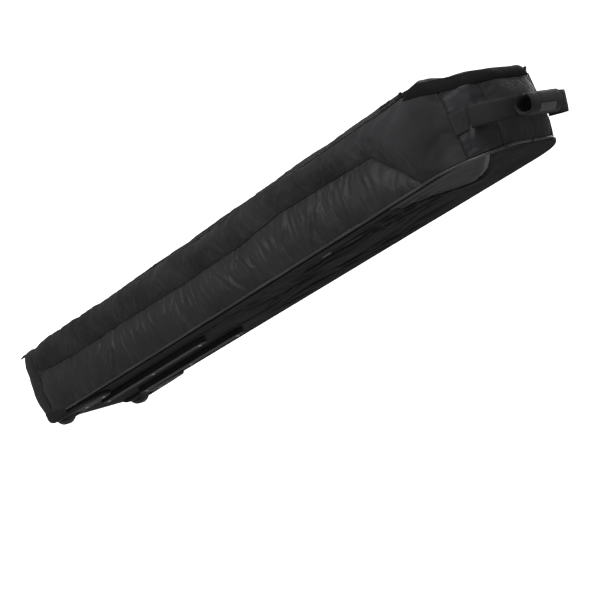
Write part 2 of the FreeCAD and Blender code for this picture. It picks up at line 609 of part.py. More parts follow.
doc.recompute()
for item in doc.Objects:
    if "Invalid" in item.State or "Error" in item.State:
        raise RuntimeError(f"{item.Name} failed: {item.State}")
os.makedirs("parts", exist_ok=True)
whole = FreeCAD.BoundBox()
for item in nodes:
    shape = item.Shape
    if shape.isNull() or not shape.isValid() or not shape.Solids or shape.Volume <= 0:
        raise RuntimeError(f"{item.Label} has no valid solid")
    whole.add(shape.BoundBox)
    shape.exportStep(f"parts/{item.Label}.step")
    print(f"{item.Label:24s} {len(shape.Solids)} solid(s) {shape.Volume / 1000:10.2f} cm3")
print(len(nodes), "nodes")
for axis in "XYZ":
    print(axis, round(getattr(whole, axis + "Min"), 2), round(getattr(whole, axis + "Max"), 2))
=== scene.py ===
import json
import math

import bmesh
import bpy
import numpy as np
from mathutils import Matrix, Vector


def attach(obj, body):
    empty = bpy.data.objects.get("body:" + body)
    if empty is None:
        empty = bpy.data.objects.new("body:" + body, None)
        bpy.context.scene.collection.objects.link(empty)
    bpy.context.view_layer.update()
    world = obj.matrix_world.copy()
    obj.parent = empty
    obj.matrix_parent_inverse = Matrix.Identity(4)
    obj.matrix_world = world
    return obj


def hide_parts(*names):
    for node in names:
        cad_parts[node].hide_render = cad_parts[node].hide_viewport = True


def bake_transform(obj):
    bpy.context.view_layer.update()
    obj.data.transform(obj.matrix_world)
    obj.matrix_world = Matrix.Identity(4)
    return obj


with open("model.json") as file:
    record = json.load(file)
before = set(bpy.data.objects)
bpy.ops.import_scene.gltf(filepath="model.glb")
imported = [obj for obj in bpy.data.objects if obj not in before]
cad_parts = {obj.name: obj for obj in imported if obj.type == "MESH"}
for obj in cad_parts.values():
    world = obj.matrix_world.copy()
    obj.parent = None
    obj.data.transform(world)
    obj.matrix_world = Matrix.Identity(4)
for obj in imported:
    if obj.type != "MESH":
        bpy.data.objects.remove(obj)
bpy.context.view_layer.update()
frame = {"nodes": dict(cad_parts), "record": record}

# Shapes are worked out in the bag's own frame, in millimetres: x from the wheeled
# tail to the nose, -y the zipped side, +z up, base fabric at z = 0. row() sets
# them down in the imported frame, which leans a little because of the wheels.

joints = {joint["name"]: joint for joint in frame["record"]["behaviour"]["joints"]}
ALONG = Vector(joints["tail_slider_travel"]["axis"]).normalized()
ACROSS = Vector((0, 1, 0))
UP = ALONG.cross(ACROSS)
AXES = np.array([ALONG, ACROSS, UP])
WHEEL = np.array([64.0, -129.0, 23.0])
ORIGIN = np.array(joints["near_wheel_spin"]["pos_m"]) - WHEEL / 1000 @ AXES


def row(points):
    return np.asarray(points, float) / 1000 @ AXES + ORIGIN


def bag(point):
    """The bag-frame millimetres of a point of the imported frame."""
    return (np.array(point) - ORIGIN) @ AXES.T * 1000


def turn(direction):
    return Vector(np.asarray(direction, float) @ AXES)


# --- camera ----------------------------------------------------------------------

CAMERA = (3383, -2715, -593)
RIGHT, DOWN, AHEAD = (0.6346, 0.6678, -0.389), (-0.3826, -0.1658, -0.9089), (-0.6715, 0.7257, 0.1502)
camera_data = bpy.data.cameras.new("camera")
camera_data.lens = 96.3
camera_data.sensor_width = 36
camera = bpy.data.objects.new("camera", camera_data)
bpy.context.scene.collection.objects.link(camera)
side, down, ahead = (turn(direction).normalized() for direction in (RIGHT, DOWN, AHEAD))
pose = Matrix((side, -down, -ahead)).transposed().to_4x4()
pose.translation = Vector(row(CAMERA))
camera.matrix_world = pose
bpy.context.scene.camera = camera


# --- materials -------------------------------------------------------------------

def shader(name, colour, roughness, metallic=0.0, sheen=0.0, specular=0.4):
    material = bpy.data.materials.new(name)
    material.use_nodes = True
    tree = material.node_tree
    principled = tree.nodes["Principled BSDF"]
    values = {"Base Color": (*colour, 1), "Roughness": roughness, "Metallic": metallic, "Sheen Weight": sheen,
              "Sheen Roughness": 0.45, "Specular IOR Level": specular}
    for key, value in values.items():
        principled.inputs[key].default_value = value
    return material, tree, principled


def add(tree, kind, **settings):
    node = tree.nodes.new(kind)
    for key, value in settings.items():
        if key in node.inputs:
            node.inputs[key].default_value = value
        else:
            setattr(node, key, value)
    return node


def noise(tree, vector, scale, detail=3.0):
    texture = add(tree, "ShaderNodeTexNoise", Scale=scale, Detail=detail)
    tree.links.new(vector, texture.inputs["Vector"])
    return texture.outputs["Fac"]


def ramp(tree, value, stops):
    curve = add(tree, "ShaderNodeValToRGB")
    elements = curve.color_ramp.elements
    while len(elements) < len(stops):
        elements.new(0.5)
    for element, (position, colour) in zip(elements, stops):
        element.position = position
        element.color = (*colour, 1)
    tree.links.new(value, curve.inputs["Fac"])
    return curve.outputs["Color"]


def math_node(tree, operation, first, second):
    node = add(tree, "ShaderNodeMath", operation=operation)
    for index, value in enumerate((first, second)):
        if isinstance(value, (int, float)):
            node.inputs[index].default_value = value
        else:
            tree.links.new(value, node.inputs[index])
    return node.outputs[0]


def weave(tree, vector, pitch, turned=0.0):
    """Over-and-under threads from two crossed waves; pitch is one thread in metres."""
    mapping = add(tree, "ShaderNodeMapping")
    mapping.inputs["Rotation"].default_value = (0, 0, turned)
    tree.links.new(vector, mapping.inputs["Vector"])
    waves = []
    for direction in "XY":
        wave = add(tree, "ShaderNodeTexWave", bands_direction=direction, Scale=0.314 / pitch)
        tree.links.new(mapping.outputs["Vector"], wave.inputs["Vector"])
        waves.append(wave.outputs["Fac"])
    return math_node(tree, "MULTIPLY", *waves)


def bump(tree, principled, layers):
    """Stack bump layers of (height, strength, distance)."""
    normal = None
    for height, strength, distance in layers:
        node = add(tree, "ShaderNodeBump", Strength=strength, Distance=distance)
        tree.links.new(height, node.inputs["Height"])
        if normal is not None:
            tree.links.new(normal, node.inputs["Normal"])
        normal = node.outputs["Normal"]
    tree.links.new(normal, principled.inputs["Normal"])


def tone(colour, factor):
    return tuple(min(1.0, channel * factor) for channel in colour)


def rubbed(tree, principled, place, roughness, below, above, scale, detail=3.0):
    """Roughness that shifts from patch to patch."""
    rough = add(tree, "ShaderNodeMapRange")
    rough.inputs["To Min"].default_value = max(0.05, roughness - below)
    rough.inputs["To Max"].default_value = min(1.0, roughness + above)
    tree.links.new(noise(tree, place, scale, detail), rough.inputs["Value"])
    tree.links.new(rough.outputs["Result"], principled.inputs["Roughness"])


def fabric(name, colour, pitch, roughness=0.75, sheen=0.15, spread=0.35, speckle=0.0, crinkle=0.0,
           turned=0.0, grain=0.25, specular=0.35):
    """Woven cloth: threads, uneven dye, light rubbed areas and fine crinkles."""
    material, tree, principled = shader(name, colour, roughness, sheen=sheen, specular=specular)
    place = add(tree, "ShaderNodeTexCoord").outputs["UV"]
    cloud = noise(tree, place, 9.0)
    fine = noise(tree, place, 900.0, 2.0)
    mixed = math_node(tree, "ADD", math_node(tree, "MULTIPLY", cloud, 1 - speckle),
                      math_node(tree, "MULTIPLY", fine, speckle))
    low, high = (0.42, 0.6) if speckle else (0.3, 0.7)
    tint = ramp(tree, mixed, [(low, tone(colour, 1 - spread)), (high, tone(colour, 1 + spread))])
    tree.links.new(tint, principled.inputs["Base Color"])
    rubbed(tree, principled, place, roughness, 0.12, 0.1, 26.0)
    layers = [(weave(tree, place, pitch, turned), grain, 0.0004)]
    if crinkle:
        layers.insert(0, (noise(tree, place, 60.0, 6.0), crinkle, 0.002))
    bump(tree, principled, layers)
    return material


def moulded(name, colour, roughness, metallic=0.0, specular=0.4, grain=420.0, strength=0.15):
    """Moulded, painted or metal surface: fine grain, scuffs and small shifts in tone."""
    material, tree, principled = shader(name, colour, roughness, metallic, 0.0, specular)
    place = add(tree, "ShaderNodeTexCoord").outputs["Object"]
    tint = ramp(tree, noise(tree, place, 14.0, 6.0),
                [(0.35, tone(colour, 0.75)), (0.62, tone(colour, 1.12)), (0.75, tone(colour, 1.5))])
    tree.links.new(tint, principled.inputs["Base Color"])
    rubbed(tree, principled, place, roughness, 0.14, 0.14, 40.0, 5.0)
    bump(tree, principled, [(noise(tree, place, grain, 2.0), strength, 0.0004)])
    return material


LOWER = fabric("coated_nylon", (0.0150, 0.0152, 0.0165), 0.0016, 0.46, 0.03, 0.25, crinkle=0.35, specular=0.22)
UPPER = fabric("heathered_polyester", (0.0190, 0.0192, 0.0205), 0.0014, 0.8, 0.06, 0.5, speckle=0.55,
               crinkle=0.25, specular=0.15)
SATIN = fabric("nose_satin", (0.0130, 0.0132, 0.0150), 0.0010, 0.4, 0.03, 0.3, crinkle=0.2, specular=0.25)
BALLISTIC = fabric("ballistic_nylon", (0.0150, 0.0150, 0.0162), 0.0048, 0.6, 0.03, 0.3, grain=0.9,
                   turned=0.785, specular=0.2)
LID = fabric("lid_polyester", (0.0150, 0.0152, 0.0165), 0.0014, 0.7, 0.05, 0.35, crinkle=0.25, specular=0.18)
TARP = fabric("coated_tarpaulin", (0.0050, 0.0050, 0.0060), 0.0022, 0.62, 0.0, 0.3, crinkle=0.4, specular=0.05)
# A lighter, shinier copy of the base tarpaulin: painted light for the strip of base near the nose that catches
# the light.
PAINTED_LIGHT_TARP = fabric("base_tarpaulin_painted_light", (0.019, 0.019, 0.022), 0.0022, 0.55, 0.0, 0.3, crinkle=0.3,
                   specular=0.12)
BAND = fabric("band_nylon", (0.0055, 0.0055, 0.0060), 0.0012, 0.8, 0.01, 0.3, specular=0.1)
WEBBING = fabric("webbing", (0.0125, 0.0125, 0.0138), 0.0026, 0.7, 0.04, 0.3, grain=0.9, specular=0.18)
TAPE = fabric("zip_tape", (0.0085, 0.0085, 0.0095), 0.0009, 0.75, 0.02, 0.3, specular=0.15)
LINING = fabric("lining", (0.055, 0.057, 0.062), 0.0012, 0.75, 0.1, 0.2, specular=0.2)
GRIP = fabric("grip_neoprene", (0.0135, 0.0135, 0.0150), 0.0012, 0.72, 0.08, 0.3, specular=0.2)
THREAD = fabric("thread", (0.030, 0.030, 0.033), 0.0006, 0.7, 0.05, 0.2, specular=0.2)
PIPING = moulded("vinyl_piping", (0.028, 0.028, 0.031), 0.36)
PLASTIC = moulded("moulded_plastic", (0.0125, 0.0128, 0.0142), 0.5, specular=0.14)
URETHANE = moulded("urethane", (0.010, 0.010, 0.0115), 0.4, specular=0.35)
HUB = moulded("moulded_nylon", (0.040, 0.041, 0.044), 0.5)
STEEL = moulded("zinc_steel", (0.55, 0.56, 0.58), 0.32, metallic=1.0, grain=160.0, strength=0.05)
BLACK_METAL = moulded("black_oxide", (0.050, 0.050, 0.055), 0.35, metallic=0.8, grain=200.0, strength=0.05)
BOARD = moulded("sheet_polyethylene", (0.050, 0.050, 0.052), 0.5, grain=90.0)
RUBBER = moulded("label_rubber", (0.060, 0.060, 0.064), 0.55)


# --- mesh helpers ----------------------------------------------------------------

MIDDLE = (820, 0, 100)
BELOW, ABOVE = (820, 0, -400), (820, 0, 200)


def join(*coordinates):
    """Points from their three coordinates, any of which may be one number."""
    return np.stack(np.broadcast_arrays(*coordinates), axis=-1).astype(float)


def unit(vectors):
    return vectors / np.linalg.norm(vectors, axis=1, keepdims=True)


def distances(path):
    """How far along a path each of its points lies."""
    return np.concatenate([[0], np.cumsum(np.linalg.norm(np.diff(path, axis=0), axis=1))])


def belong(piece, body, nodes=()):
    """Fix a piece to a body and hide the CAD nodes that it stands for."""
    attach(piece, body)
    if nodes:
        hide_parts(*nodes)


def mesh_object(name, points, faces, material, uvs):
    """points in bag millimetres; uvs one pair in metres for each point."""
    mesh = bpy.data.meshes.new(name)
    mesh.from_pydata([tuple(point) for point in row(points)], [], faces)
    layer = mesh.uv_layers.new(name="UVMap")
    corner = np.empty(len(mesh.loops), int)
    mesh.loops.foreach_get("vertex_index", corner)
    layer.data.foreach_set("uv", np.asarray(uvs, np.float32)[corner].ravel())
    for polygon in mesh.polygons:
        polygon.use_smooth = True
    mesh.materials.append(material)
    mesh.update()
    piece = bpy.data.objects.new(name, mesh)
    bpy.context.scene.collection.objects.link(piece)
    return piece


def grid_faces(columns, rows):
    corners = (i * rows + j for i in range(columns - 1) for j in range(rows - 1))
    return [(a, a + rows, a + rows + 1, a + 1) for a in corners]


def grid_lengths(points):
    """Distance of each point of a (columns, rows, 3) grid along its own column."""
    across = np.linalg.norm(np.diff(points, axis=1), axis=2)
    return np.concatenate([np.zeros((len(points), 1)), np.cumsum(across, axis=1)], axis=1)


def grid_uv(points):
    """Lengths along both directions of a (columns, rows, 3) grid, in metres."""
    u = distances(points[:, points.shape[1] // 2])
    u = np.repeat(u[:, None], points.shape[1], 1)
    return np.stack([u, grid_lengths(points)], axis=2).reshape(-1, 2) / 1000


def grid_normals(points):
    normal = np.cross(np.gradient(points, axis=0), np.gradient(points, axis=1))
    return normal / np.maximum(np.linalg.norm(normal, axis=2, keepdims=True), 1e-9)


def faces_out(points, normals, centre):
    """Whether a grid's normals point away from a place inside the bag."""
    return (normals * (points - np.asarray(centre, float))).sum() > 0


def outward(points, centre):
    """A grid's normals, turned away from a place inside the bag."""
    normals = grid_normals(points)
    return normals if faces_out(points, normals, centre) else -normals


def sheet_object(name, points, material, centre=MIDDLE, holes=None):
    faces = grid_faces(*points.shape[:2])
    flat = points.reshape(-1, 3)
    if holes is not None:
        faces = [face for face in faces if not holes(flat[list(face)].mean(axis=0))]
    if not faces_out(points, grid_normals(points), centre):
        faces = [face[::-1] for face in faces]
    return mesh_object(name, flat, faces, material, grid_uv(points))


def thicken(piece, thickness, inner, levels=0):
    piece.data.materials.append(inner)
    solid = piece.modifiers.new("thickness", "SOLIDIFY")
    solid.thickness = thickness / 1000
    solid.offset = -1
    solid.material_offset = 1
    if levels:
        finer = piece.modifiers.new("finer", "SUBSURF")
        finer.levels = finer.render_levels = levels


def spline(points, count):
    """Catmull-Rom through (..., k, 3) control points, count samples along."""
    points = np.asarray(points, float)
    first = 2 * points[..., :1, :] - points[..., 1:2, :]
    last = 2 * points[..., -1:, :] - points[..., -2:-1, :]
    p = np.concatenate([first, points, last], axis=-2)
    spans = points.shape[-2] - 1
    lengths = np.linalg.norm(np.diff(points, axis=-2), axis=-1)
    lengths = lengths.reshape(-1, spans).mean(axis=0)
    stops = np.concatenate([[0], np.cumsum(lengths)]) / lengths.sum()
    place = np.interp(np.linspace(0, 1, count), stops, np.arange(spans + 1))
    index = np.minimum(place.astype(int), spans - 1)
    t = (place - index)[:, None]
    a, b, c, d = (p[..., index + k, :] for k in range(4))
    return 0.5 * (2 * b + (c - a) * t + (2 * a - 5 * b + 4 * c - d) * t ** 2 + (3 * b - a - 3 * c + d) * t ** 3)


CELLS = 64


def lattice_noise(x, y, size, seed):
    """Smooth value noise from -1 to 1 with cells of the given size."""
    table = np.random.default_rng(seed).uniform(-1, 1, (CELLS, CELLS))
    fx, fy = np.asarray(x) / size, np.asarray(y) / size
    ix, iy = np.floor(fx).astype(int), np.floor(fy).astype(int)
    tx, ty = smooth(fx - ix), smooth(fy - iy)
    low, high = (table[ix % CELLS, j % CELLS] * (1 - tx) + table[(ix + 1) % CELLS, j % CELLS] * tx
                 for j in (iy, iy + 1))
    return low * (1 - ty) + high * ty


def smooth(t):
    return t * t * (3 - 2 * t)


def bumps(x, seed, size=70.0):
    return lattice_noise(x, 0 * x, size, seed)


def creases(u, v, folds):
    """Sharp light-catching ridges; each fold is (u, v, angle, length, width, height)."""
    total = np.zeros_like(u)
    for cu, cv, angle, length, width, height in folds:
        du, dv = u - cu, v - cv
        along = du * math.cos(angle) + dv * math.sin(angle)
        across = -du * math.sin(angle) + dv * math.cos(angle)
        across = across + 0.1 * length * np.sin(along / length * 3.0 + cu)
        window = np.exp(-(along / (0.5 * length)) ** 4)
        ridge = np.exp(-np.abs(across) / width) - 0.55 * np.exp(-((np.abs(across) - 1.9 * width) / width) ** 2)
        total += 1.5 * height * ridge * window
    return total


def random_folds(seed, count, *ranges):
    """Folds for creases(), each of the six values drawn from its own range."""
    generator = np.random.default_rng(seed)
    return [tuple(generator.uniform(*limits) for limits in ranges) for _ in range(count)]


def settle(piece, pinned, pressure=4.0, shrink=-0.02, frames=16, cap=9.0):
    """Fill out a sewn panel with a short cloth simulation and keep the result."""
    mesh = piece.data
    before = np.empty(len(mesh.vertices) * 3)
    mesh.vertices.foreach_get("co", before)
    group = piece.vertex_groups.new(name="sewn")
    group.add([int(index) for index in np.nonzero(pinned.ravel())[0]], 1.0, "REPLACE")
    modifier = piece.modifiers.new("settle", "CLOTH")
    cloth = modifier.settings
    cloth.quality = 4
    cloth.mass = 0.3
    cloth.tension_stiffness = cloth.compression_stiffness = 12
    cloth.shear_stiffness = 4
    cloth.bending_stiffness = 0.3
    cloth.use_pressure = True
    cloth.uniform_pressure_force = pressure
    cloth.shrink_min = shrink
    cloth.vertex_group_mass = "sewn"
    cloth.effector_weights.gravity = 0
    modifier.collision_settings.use_collision = False
    modifier.point_cache.frame_start, modifier.point_cache.frame_end = 1, frames
    scene = bpy.context.scene
    for number in range(1, frames + 1):
        scene.frame_set(number)
    shaped = piece.evaluated_get(bpy.context.evaluated_depsgraph_get()).to_mesh()
    after = np.empty_like(before)
    shaped.vertices.foreach_get("co", after)
    piece.modifiers.remove(modifier)
    piece.vertex_groups.remove(group)
    scene.frame_set(1)
    move = (after - before).reshape(-1, 3)
    far = np.linalg.norm(move, axis=1, keepdims=True)
    move *= np.minimum(1, cap / 1000 / np.maximum(far, 1e-9))
    mesh.vertices.foreach_set("co", (before.reshape(-1, 3) + move).ravel())
    mesh.update()


def push(piece, normals, heights):
    """Move a grid's points out along the given normals (bag frame) by millimetres."""
    mesh = piece.data
    points = np.empty(len(mesh.vertices) * 3)
    mesh.vertices.foreach_get("co", points)
    moved = points.reshape(-1, 3) + (normals * heights[..., None]).reshape(-1, 3) / 1000 @ AXES
    mesh.vertices.foreach_set("co", moved.ravel())
    mesh.update()


def skin(name, path, rings, around, material, closed=False, reverse=False):
    """Faces over one ring of points for each place of a path, capped unless the path is a loop."""
    count, sides = rings.shape[:2]
    faces = []
    for i in range(count if closed else count - 1):
        for j in range(sides):
            a, b, k = i * sides + j, (i + 1) % count * sides + j, (j + 1) % sides
            face = (a, a - j + k, b - j + k, b)
            faces.append((a, *face[:0:-1]) if reverse else face)
    if not closed:
        faces.append(tuple(range(sides)))
        faces.append(tuple(range((count - 1) * sides, count * sides))[::-1])
    uv = np.stack([np.repeat(distances(path), sides), np.tile(around, count)], axis=1) / 1000
    return mesh_object(name, rings.reshape(-1, 3), faces, material, uv)


def tube(name, path, radius, material, sides=10, closed=False):
    """A round or tapering tube along a smooth path; radius is one number or one for each point."""
    path = np.asarray(path, float)
    tangent = np.gradient(path, axis=0)
    if closed:
        tangent = np.roll(path, -1, axis=0) - np.roll(path, 1, axis=0)
    tangent = unit(tangent)
    guide = np.where(np.abs(tangent[:, 2:3]) > 0.9, [[1.0, 0, 0]], [[0, 0, 1.0]])
    first = unit(np.cross(tangent, guide))
    second = np.cross(tangent, first)
    angle = np.linspace(0, 2 * math.pi, sides, endpoint=False)
    radius = np.broadcast_to(radius, len(path))[:, None, None]
    ring = first[:, None] * np.cos(angle)[None, :, None] + second[:, None] * np.sin(angle)[None, :, None]
    return skin(name, path, path[:, None] + ring * radius, angle * 3, material, closed)


def across_path(vectors, tangents):
    """Unit vectors with their part along the path taken out."""
    return unit(vectors - tangents * (vectors * tangents).sum(axis=1, keepdims=True))


def ribbon(name, path, normals, width, thick, material, crown=0.0):
    """Flat webbing along a path: normals point away from its face; crown rounds the face."""
    path = np.asarray(path, float)
    tangent = unit(np.gradient(path, axis=0))
    normals = across_path(np.broadcast_to(np.asarray(normals, float), path.shape), tangent)
    across = np.cross(tangent, normals)
    w = -1 + 2 * np.arange(7) / 6
    half = thick / 2 * np.where(np.abs(w) == 1, 0.55, 1)
    face = np.stack([w * width / 2, half + crown * (1 - w * w)], axis=1)
    back = np.stack([w * width / 2, -half], axis=1)[::-1]
    profile = np.concatenate([face, back])
    rings = path[:, None] + across[:, None] * profile[None, :, :1] + normals[:, None] * profile[None, :, 1:]
    return skin(name, path, rings, profile[:, 0], material, reverse=True)


PILL = np.array([(-1, 0, 0), (-0.6, -1, 0), (-0.6, 0, 1), (-0.6, 1, 0), (0.6, -1, 0), (0.6, 0, 1), (0.6, 1, 0),
                 (1, 0, 0)])
PILL_FACES = [(0, 1, 2), (0, 2, 3), (1, 4, 5, 2), (2, 5, 6, 3), (4, 7, 5), (5, 7, 6)]


def scatter(name, centres, tangents, normals, size, material, shape=PILL, shape_faces=PILL_FACES):
    """One small solid at every centre, turned to its tangent and normal."""
    centres = np.asarray(centres, float)
    tangents = unit(np.broadcast_to(np.asarray(tangents, float), centres.shape))
    normals = across_path(np.broadcast_to(np.asarray(normals, float), centres.shape), tangents)
    across = np.cross(normals, tangents)
    local = shape * np.asarray(size, float)
    points = (centres[:, None] + tangents[:, None] * local[None, :, :1] + across[:, None] * local[None, :, 1:2]
              + normals[:, None] * local[None, :, 2:])
    base = np.arange(len(centres)) * len(shape)
    faces = [tuple(int(start) + index for index in face) for start in base for face in shape_faces]
    uv = np.tile(shape[:, :2] * 0.001, (len(centres), 1))
    return mesh_object(name, points.reshape(-1, 3), faces, material, uv)


def surface(piece, points):
    """The nearest points and normals of a piece to bag points, in the bag frame."""
    found, facing = [], []
    for point in row(points):
        _, place, normal, _ = piece.closest_point_on_mesh(Vector(point))
        found.append(bag(place))
        facing.append(np.array(normal) @ AXES.T)
    return np.array(found), np.array(facing)


def even(path, spacing):
    """Points at an even spacing along a path."""
    path = np.asarray(path, float)
    step = distances(path)
    stops = np.arange(spacing / 2, step[-1], spacing)
    return np.stack([np.interp(stops, step, path[:, axis]) for axis in range(3)], axis=1)


def stitches(name, piece, path, spacing=4.2):
    """A row of raised thread stitches laid on a piece of the bag along a path."""
    centres, normals = surface(piece, even(path, spacing))
    thread = scatter(name, centres + normals * 0.15, np.gradient(centres, axis=0), normals,
                     (spacing * 0.36, 0.55, 0.45), THREAD)
    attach(thread, "bag")


# A box with a cross in it, as corners numbered 0 and 1 both ways.
BOX_STITCH = [(0, 0), (1, 0), (1, 1), (0, 1), (0, 0), (1, 1), (1, 0), (0, 1)]


# --- outline of the bag ----------------------------------------------------------

HALF, NOSE_R, TAIL_R, LENGTH = 165.0, 125.0, 40.0, 1640.0
NOSE_X, NOSE_Y, TAIL_Y = LENGTH - NOSE_R, HALF - NOSE_R, HALF - TAIL_R
LEGS = [NOSE_X - TAIL_R, NOSE_R * math.pi / 2, 2 * NOSE_Y, NOSE_R * math.pi / 2, NOSE_X - TAIL_R,
        TAIL_R * math.pi / 2, 2 * TAIL_Y, TAIL_R * math.pi / 2]
MARKS = np.concatenate([[0], np.cumsum(LEGS)])
TURN = MARKS[-1]
# Each straight leg's start and direction, and each corner's radius, centre and first angle.
STRAIGHTS = {0: (TAIL_R, -HALF, 1, 0), 2: (LENGTH, -NOSE_Y, 0, 1),
             4: (NOSE_X, HALF, -1, 0), 6: (0, TAIL_Y, 0, -1)}
CORNERS = {1: (NOSE_R, NOSE_X, -NOSE_Y, -90), 3: (NOSE_R, NOSE_X, NOSE_Y, 0),
           5: (TAIL_R, TAIL_R, TAIL_Y, 90), 7: (TAIL_R, TAIL_R, -TAIL_Y, 180)}


def outline(s):
    """Place and outward direction at a distance round the plan, from the near tail corner."""
    s = np.asarray(s, float) % TURN
    x, y, nx, ny = (np.zeros_like(s) for _ in range(4))
    for leg in range(len(LEGS)):
        on = (s >= MARKS[leg]) & (s < MARKS[leg + 1])
        t = s[on] - MARKS[leg]
        if leg in STRAIGHTS:
            x0, y0, dx, dy = STRAIGHTS[leg]
            x[on], y[on], nx[on], ny[on] = x0 + dx * t, y0 + dy * t, dy, -dx
        else:
            radius, cx, cy, start = CORNERS[leg]
            angle = math.radians(start) + t / radius
            nx[on], ny[on] = np.cos(angle), np.sin(angle)
            x[on], y[on] = cx + radius * nx[on], cy + radius * ny[on]
    return x, y, nx, ny


def near_s(x):
    """Distance round the plan of a place x on the near side."""
    x = np.asarray(x, float)
    arc = NOSE_R * np.arcsin(np.clip((x - NOSE_X) / NOSE_R, 0, 1))
    return np.where(x <= NOSE_X, x - TAIL_R, MARKS[1] + arc)


def far_s(x):
    return MARKS[1] + MARKS[4] - near_s(x)


# Heights that the bag's lines follow along its length.
SEAM = ([62, 108, 240, 480, 690, 920, 1070, 1240, 1360, 1420, 1464],
        [140, 126, 118, 117, 112, 114, 126, 121, 117, 57, 3.5])
CREST = ([0, 40, 80, 120, 200, 350, 490, 610, 730, 800, 900, 1000, 1080, 1180, 1300, 1420, 1500],
         [168, 182, 190, 196, 199, 197, 191, 189, 188, 186, 190, 195, 191, 186, 182, 181, 181])
RIM = ([1480, 1503, 1530, 1560, 1590, 1620, 1640], [184, 178, 170, 161, 154, 147, 144])
LID_CROWN = ([92, 700, 1050, 1150, 1250, 1400, 1470], [200, 201, 204, 207, 210, 208, 205])
LID_MIDDLE = ([92, 1000, 1200, 1470], [205.5, 208, 212, 211])
FOOT, FAR_SEAM, HINGE_Y, TAIL_ROUND = 3.0, 118.0, 122.0, 55
SIDE_START, NOSE_SEAM, SEAM_END = 62, 1575, 1463
TAIL_NEAR = TURN + 22
TAIL_FAR = float(far_s(SIDE_START))


def hinge_height(x):
    x = np.asarray(x, float)
    droop = np.clip((x - 1450) / 190, 0, 1)
    return 205 - 30 * droop - 26 * np.clip((x - NOSE_SEAM) / 65, 0, 1) ** 2


def base_offset(s, z):
    """The nose end leans back near the floor, and the tail end's lower edge is rounded."""
    _, _, nx, _ = outline(s)
    low = np.clip(1 - np.asarray(z) / 45, 0, 1)
    return -15 * np.clip(nx, 0, 1) ** 2 * low ** 1.5 - tail_round(z) * np.clip(-nx, 0, 1) ** 1.5


def tail_round(distance):
    """How far a rounded edge falls back at a distance from where it would have been sharp."""
    inside = np.clip(TAIL_ROUND - np.asarray(distance), 0, TAIL_ROUND - 1)
    return TAIL_ROUND - np.sqrt(TAIL_ROUND ** 2 - inside ** 2)


def beside(s, off, heights):
    """Points at distances off the outline and at heights."""
    x, y, nx, ny = outline(s)
    return join(x + nx * off, y + ny * off, heights)


def column(s, offsets, heights):
    """Points standing off the outline: offsets and heights are (columns, k)."""
    x, y, nx, ny = (item[:, None] for item in outline(s))
    offsets = offsets + base_offset(s[:, None], heights)
    return join(x + nx * offsets, y + ny * offsets, heights)


def per_column(x, *values):
    return np.stack([value + 0 * x for value in values], axis=1)


def panel_relief(u, v, depth, seed, folds, puff):
    """Puffed cloth between its seams, puckered where it is sewn, with folds on it."""
    arch = np.sin(np.pi * np.linspace(0, 1, u.shape[1])[None, :])
    edge = np.minimum(v - v[:, :1], v[:, -1:] - v)
    pucker = np.exp(-edge / 13) * (1 - np.exp(-edge / 2.5))
    relief = puff * arch ** 0.7 + depth * lattice_noise(u, v, 150, seed) * arch ** 0.5
    puckers = 1.5 * lattice_noise(u, v * 0.3, 13, seed + 1) + 1.0 * lattice_noise(u, v, 7, seed + 2)
    relief = relief + pucker * puckers + 0.7 * lattice_noise(u, v, 34, seed + 3)
    return relief + creases(u, v, folds) * np.clip(edge / 6, 0, 1)


def seam_folds(count, low, high, span, seed, seam_at):
    """Folds that start at a seam and run away from it, near upright; span is negative below a seam."""
    generator = np.random.default_rng(seed)
    folds = []
    for index in range(count):
        u = low + (high - low) * (index + generator.uniform(0.1, 0.9)) / count
        length = generator.uniform(0.45, 1.0) * span
        angle = math.pi / 2 + generator.uniform(-0.42, 0.42)
        centre = seam_at + length * 0.5
        folds.append((u, centre, angle, abs(length), generator.uniform(2.6, 5.5), generator.uniform(0.9, 2.6)))
    return folds


panels = []


def wall_panel(name, s, rows, material, puff, depth, seed, folds, nodes=(), top=None, path=None, simulate=True):
    """A sewn wall panel from its foot up to a height, or along a path of (offsets, heights)."""
    if path is None:
        steps = np.linspace(0, 1, rows)[None, :]
        heights = FOOT * (1 - steps) + top[:, None] * steps
        points = column(s, np.zeros_like(heights), heights)
    else:
        points = spline(column(s, *path), rows)
    v = grid_lengths(points)
    u = np.repeat(s[:, None], rows, axis=1)
    piece = sheet_object(name, points, material)
    if simulate:
        pinned = np.zeros(points.shape[:2], bool)
        pinned[:, 0] = pinned[:, -1] = pinned[0] = pinned[-1] = True
        settle(piece, pinned)
    ends = np.clip(np.minimum(u - s[0], s[-1] - u) / 12, 0, 1)
    push(piece, outward(points, MIDDLE), panel_relief(u, v, depth, seed, folds, puff) * ends)
    panels.append((piece, nodes))
    return piece


def near_top_path(s):
    """The near wall's upper cross-section: up the side, over a padded roll, down to the zip."""
    x, _, _, _ = outline(s)
    crest = np.interp(x, *CREST) + 1.5 * bumps(x, 5) + 0.8 * bumps(x, 6, 23)
    nose = smooth(np.clip((x - 1470) / 45, 0, 1))
    rim = np.interp(x, *RIM)
    edge = 184.5 * (1 - nose) + (rim + 3) * nose
    crest = np.where(nose > 0, crest * (1 - nose) + (rim + 2) * nose, crest)
    seam = np.minimum(np.interp(x, *SEAM), edge - 20)
    offsets = per_column(x, 0, 0.5, *(fall * (1 - nose) for fall in (-0.5, -2.5, -6.5, -10.5, -13.6)))
    heights = per_column(x, seam, (seam + crest) / 2 - 6, crest - 22, crest - 8, crest - 0.6,
                         np.maximum(crest - 4, edge), edge)
    return offsets, heights


def far_top_path(s):
    x, _, _, _ = outline(s)
    top = hinge_height(x) - 0.5
    return (per_column(x, 0, 0, -1, -8, -22, -42.5),
            per_column(x, FAR_SEAM, (FAR_SEAM + top) / 2, top - 42, top - 18, top - 4, top))


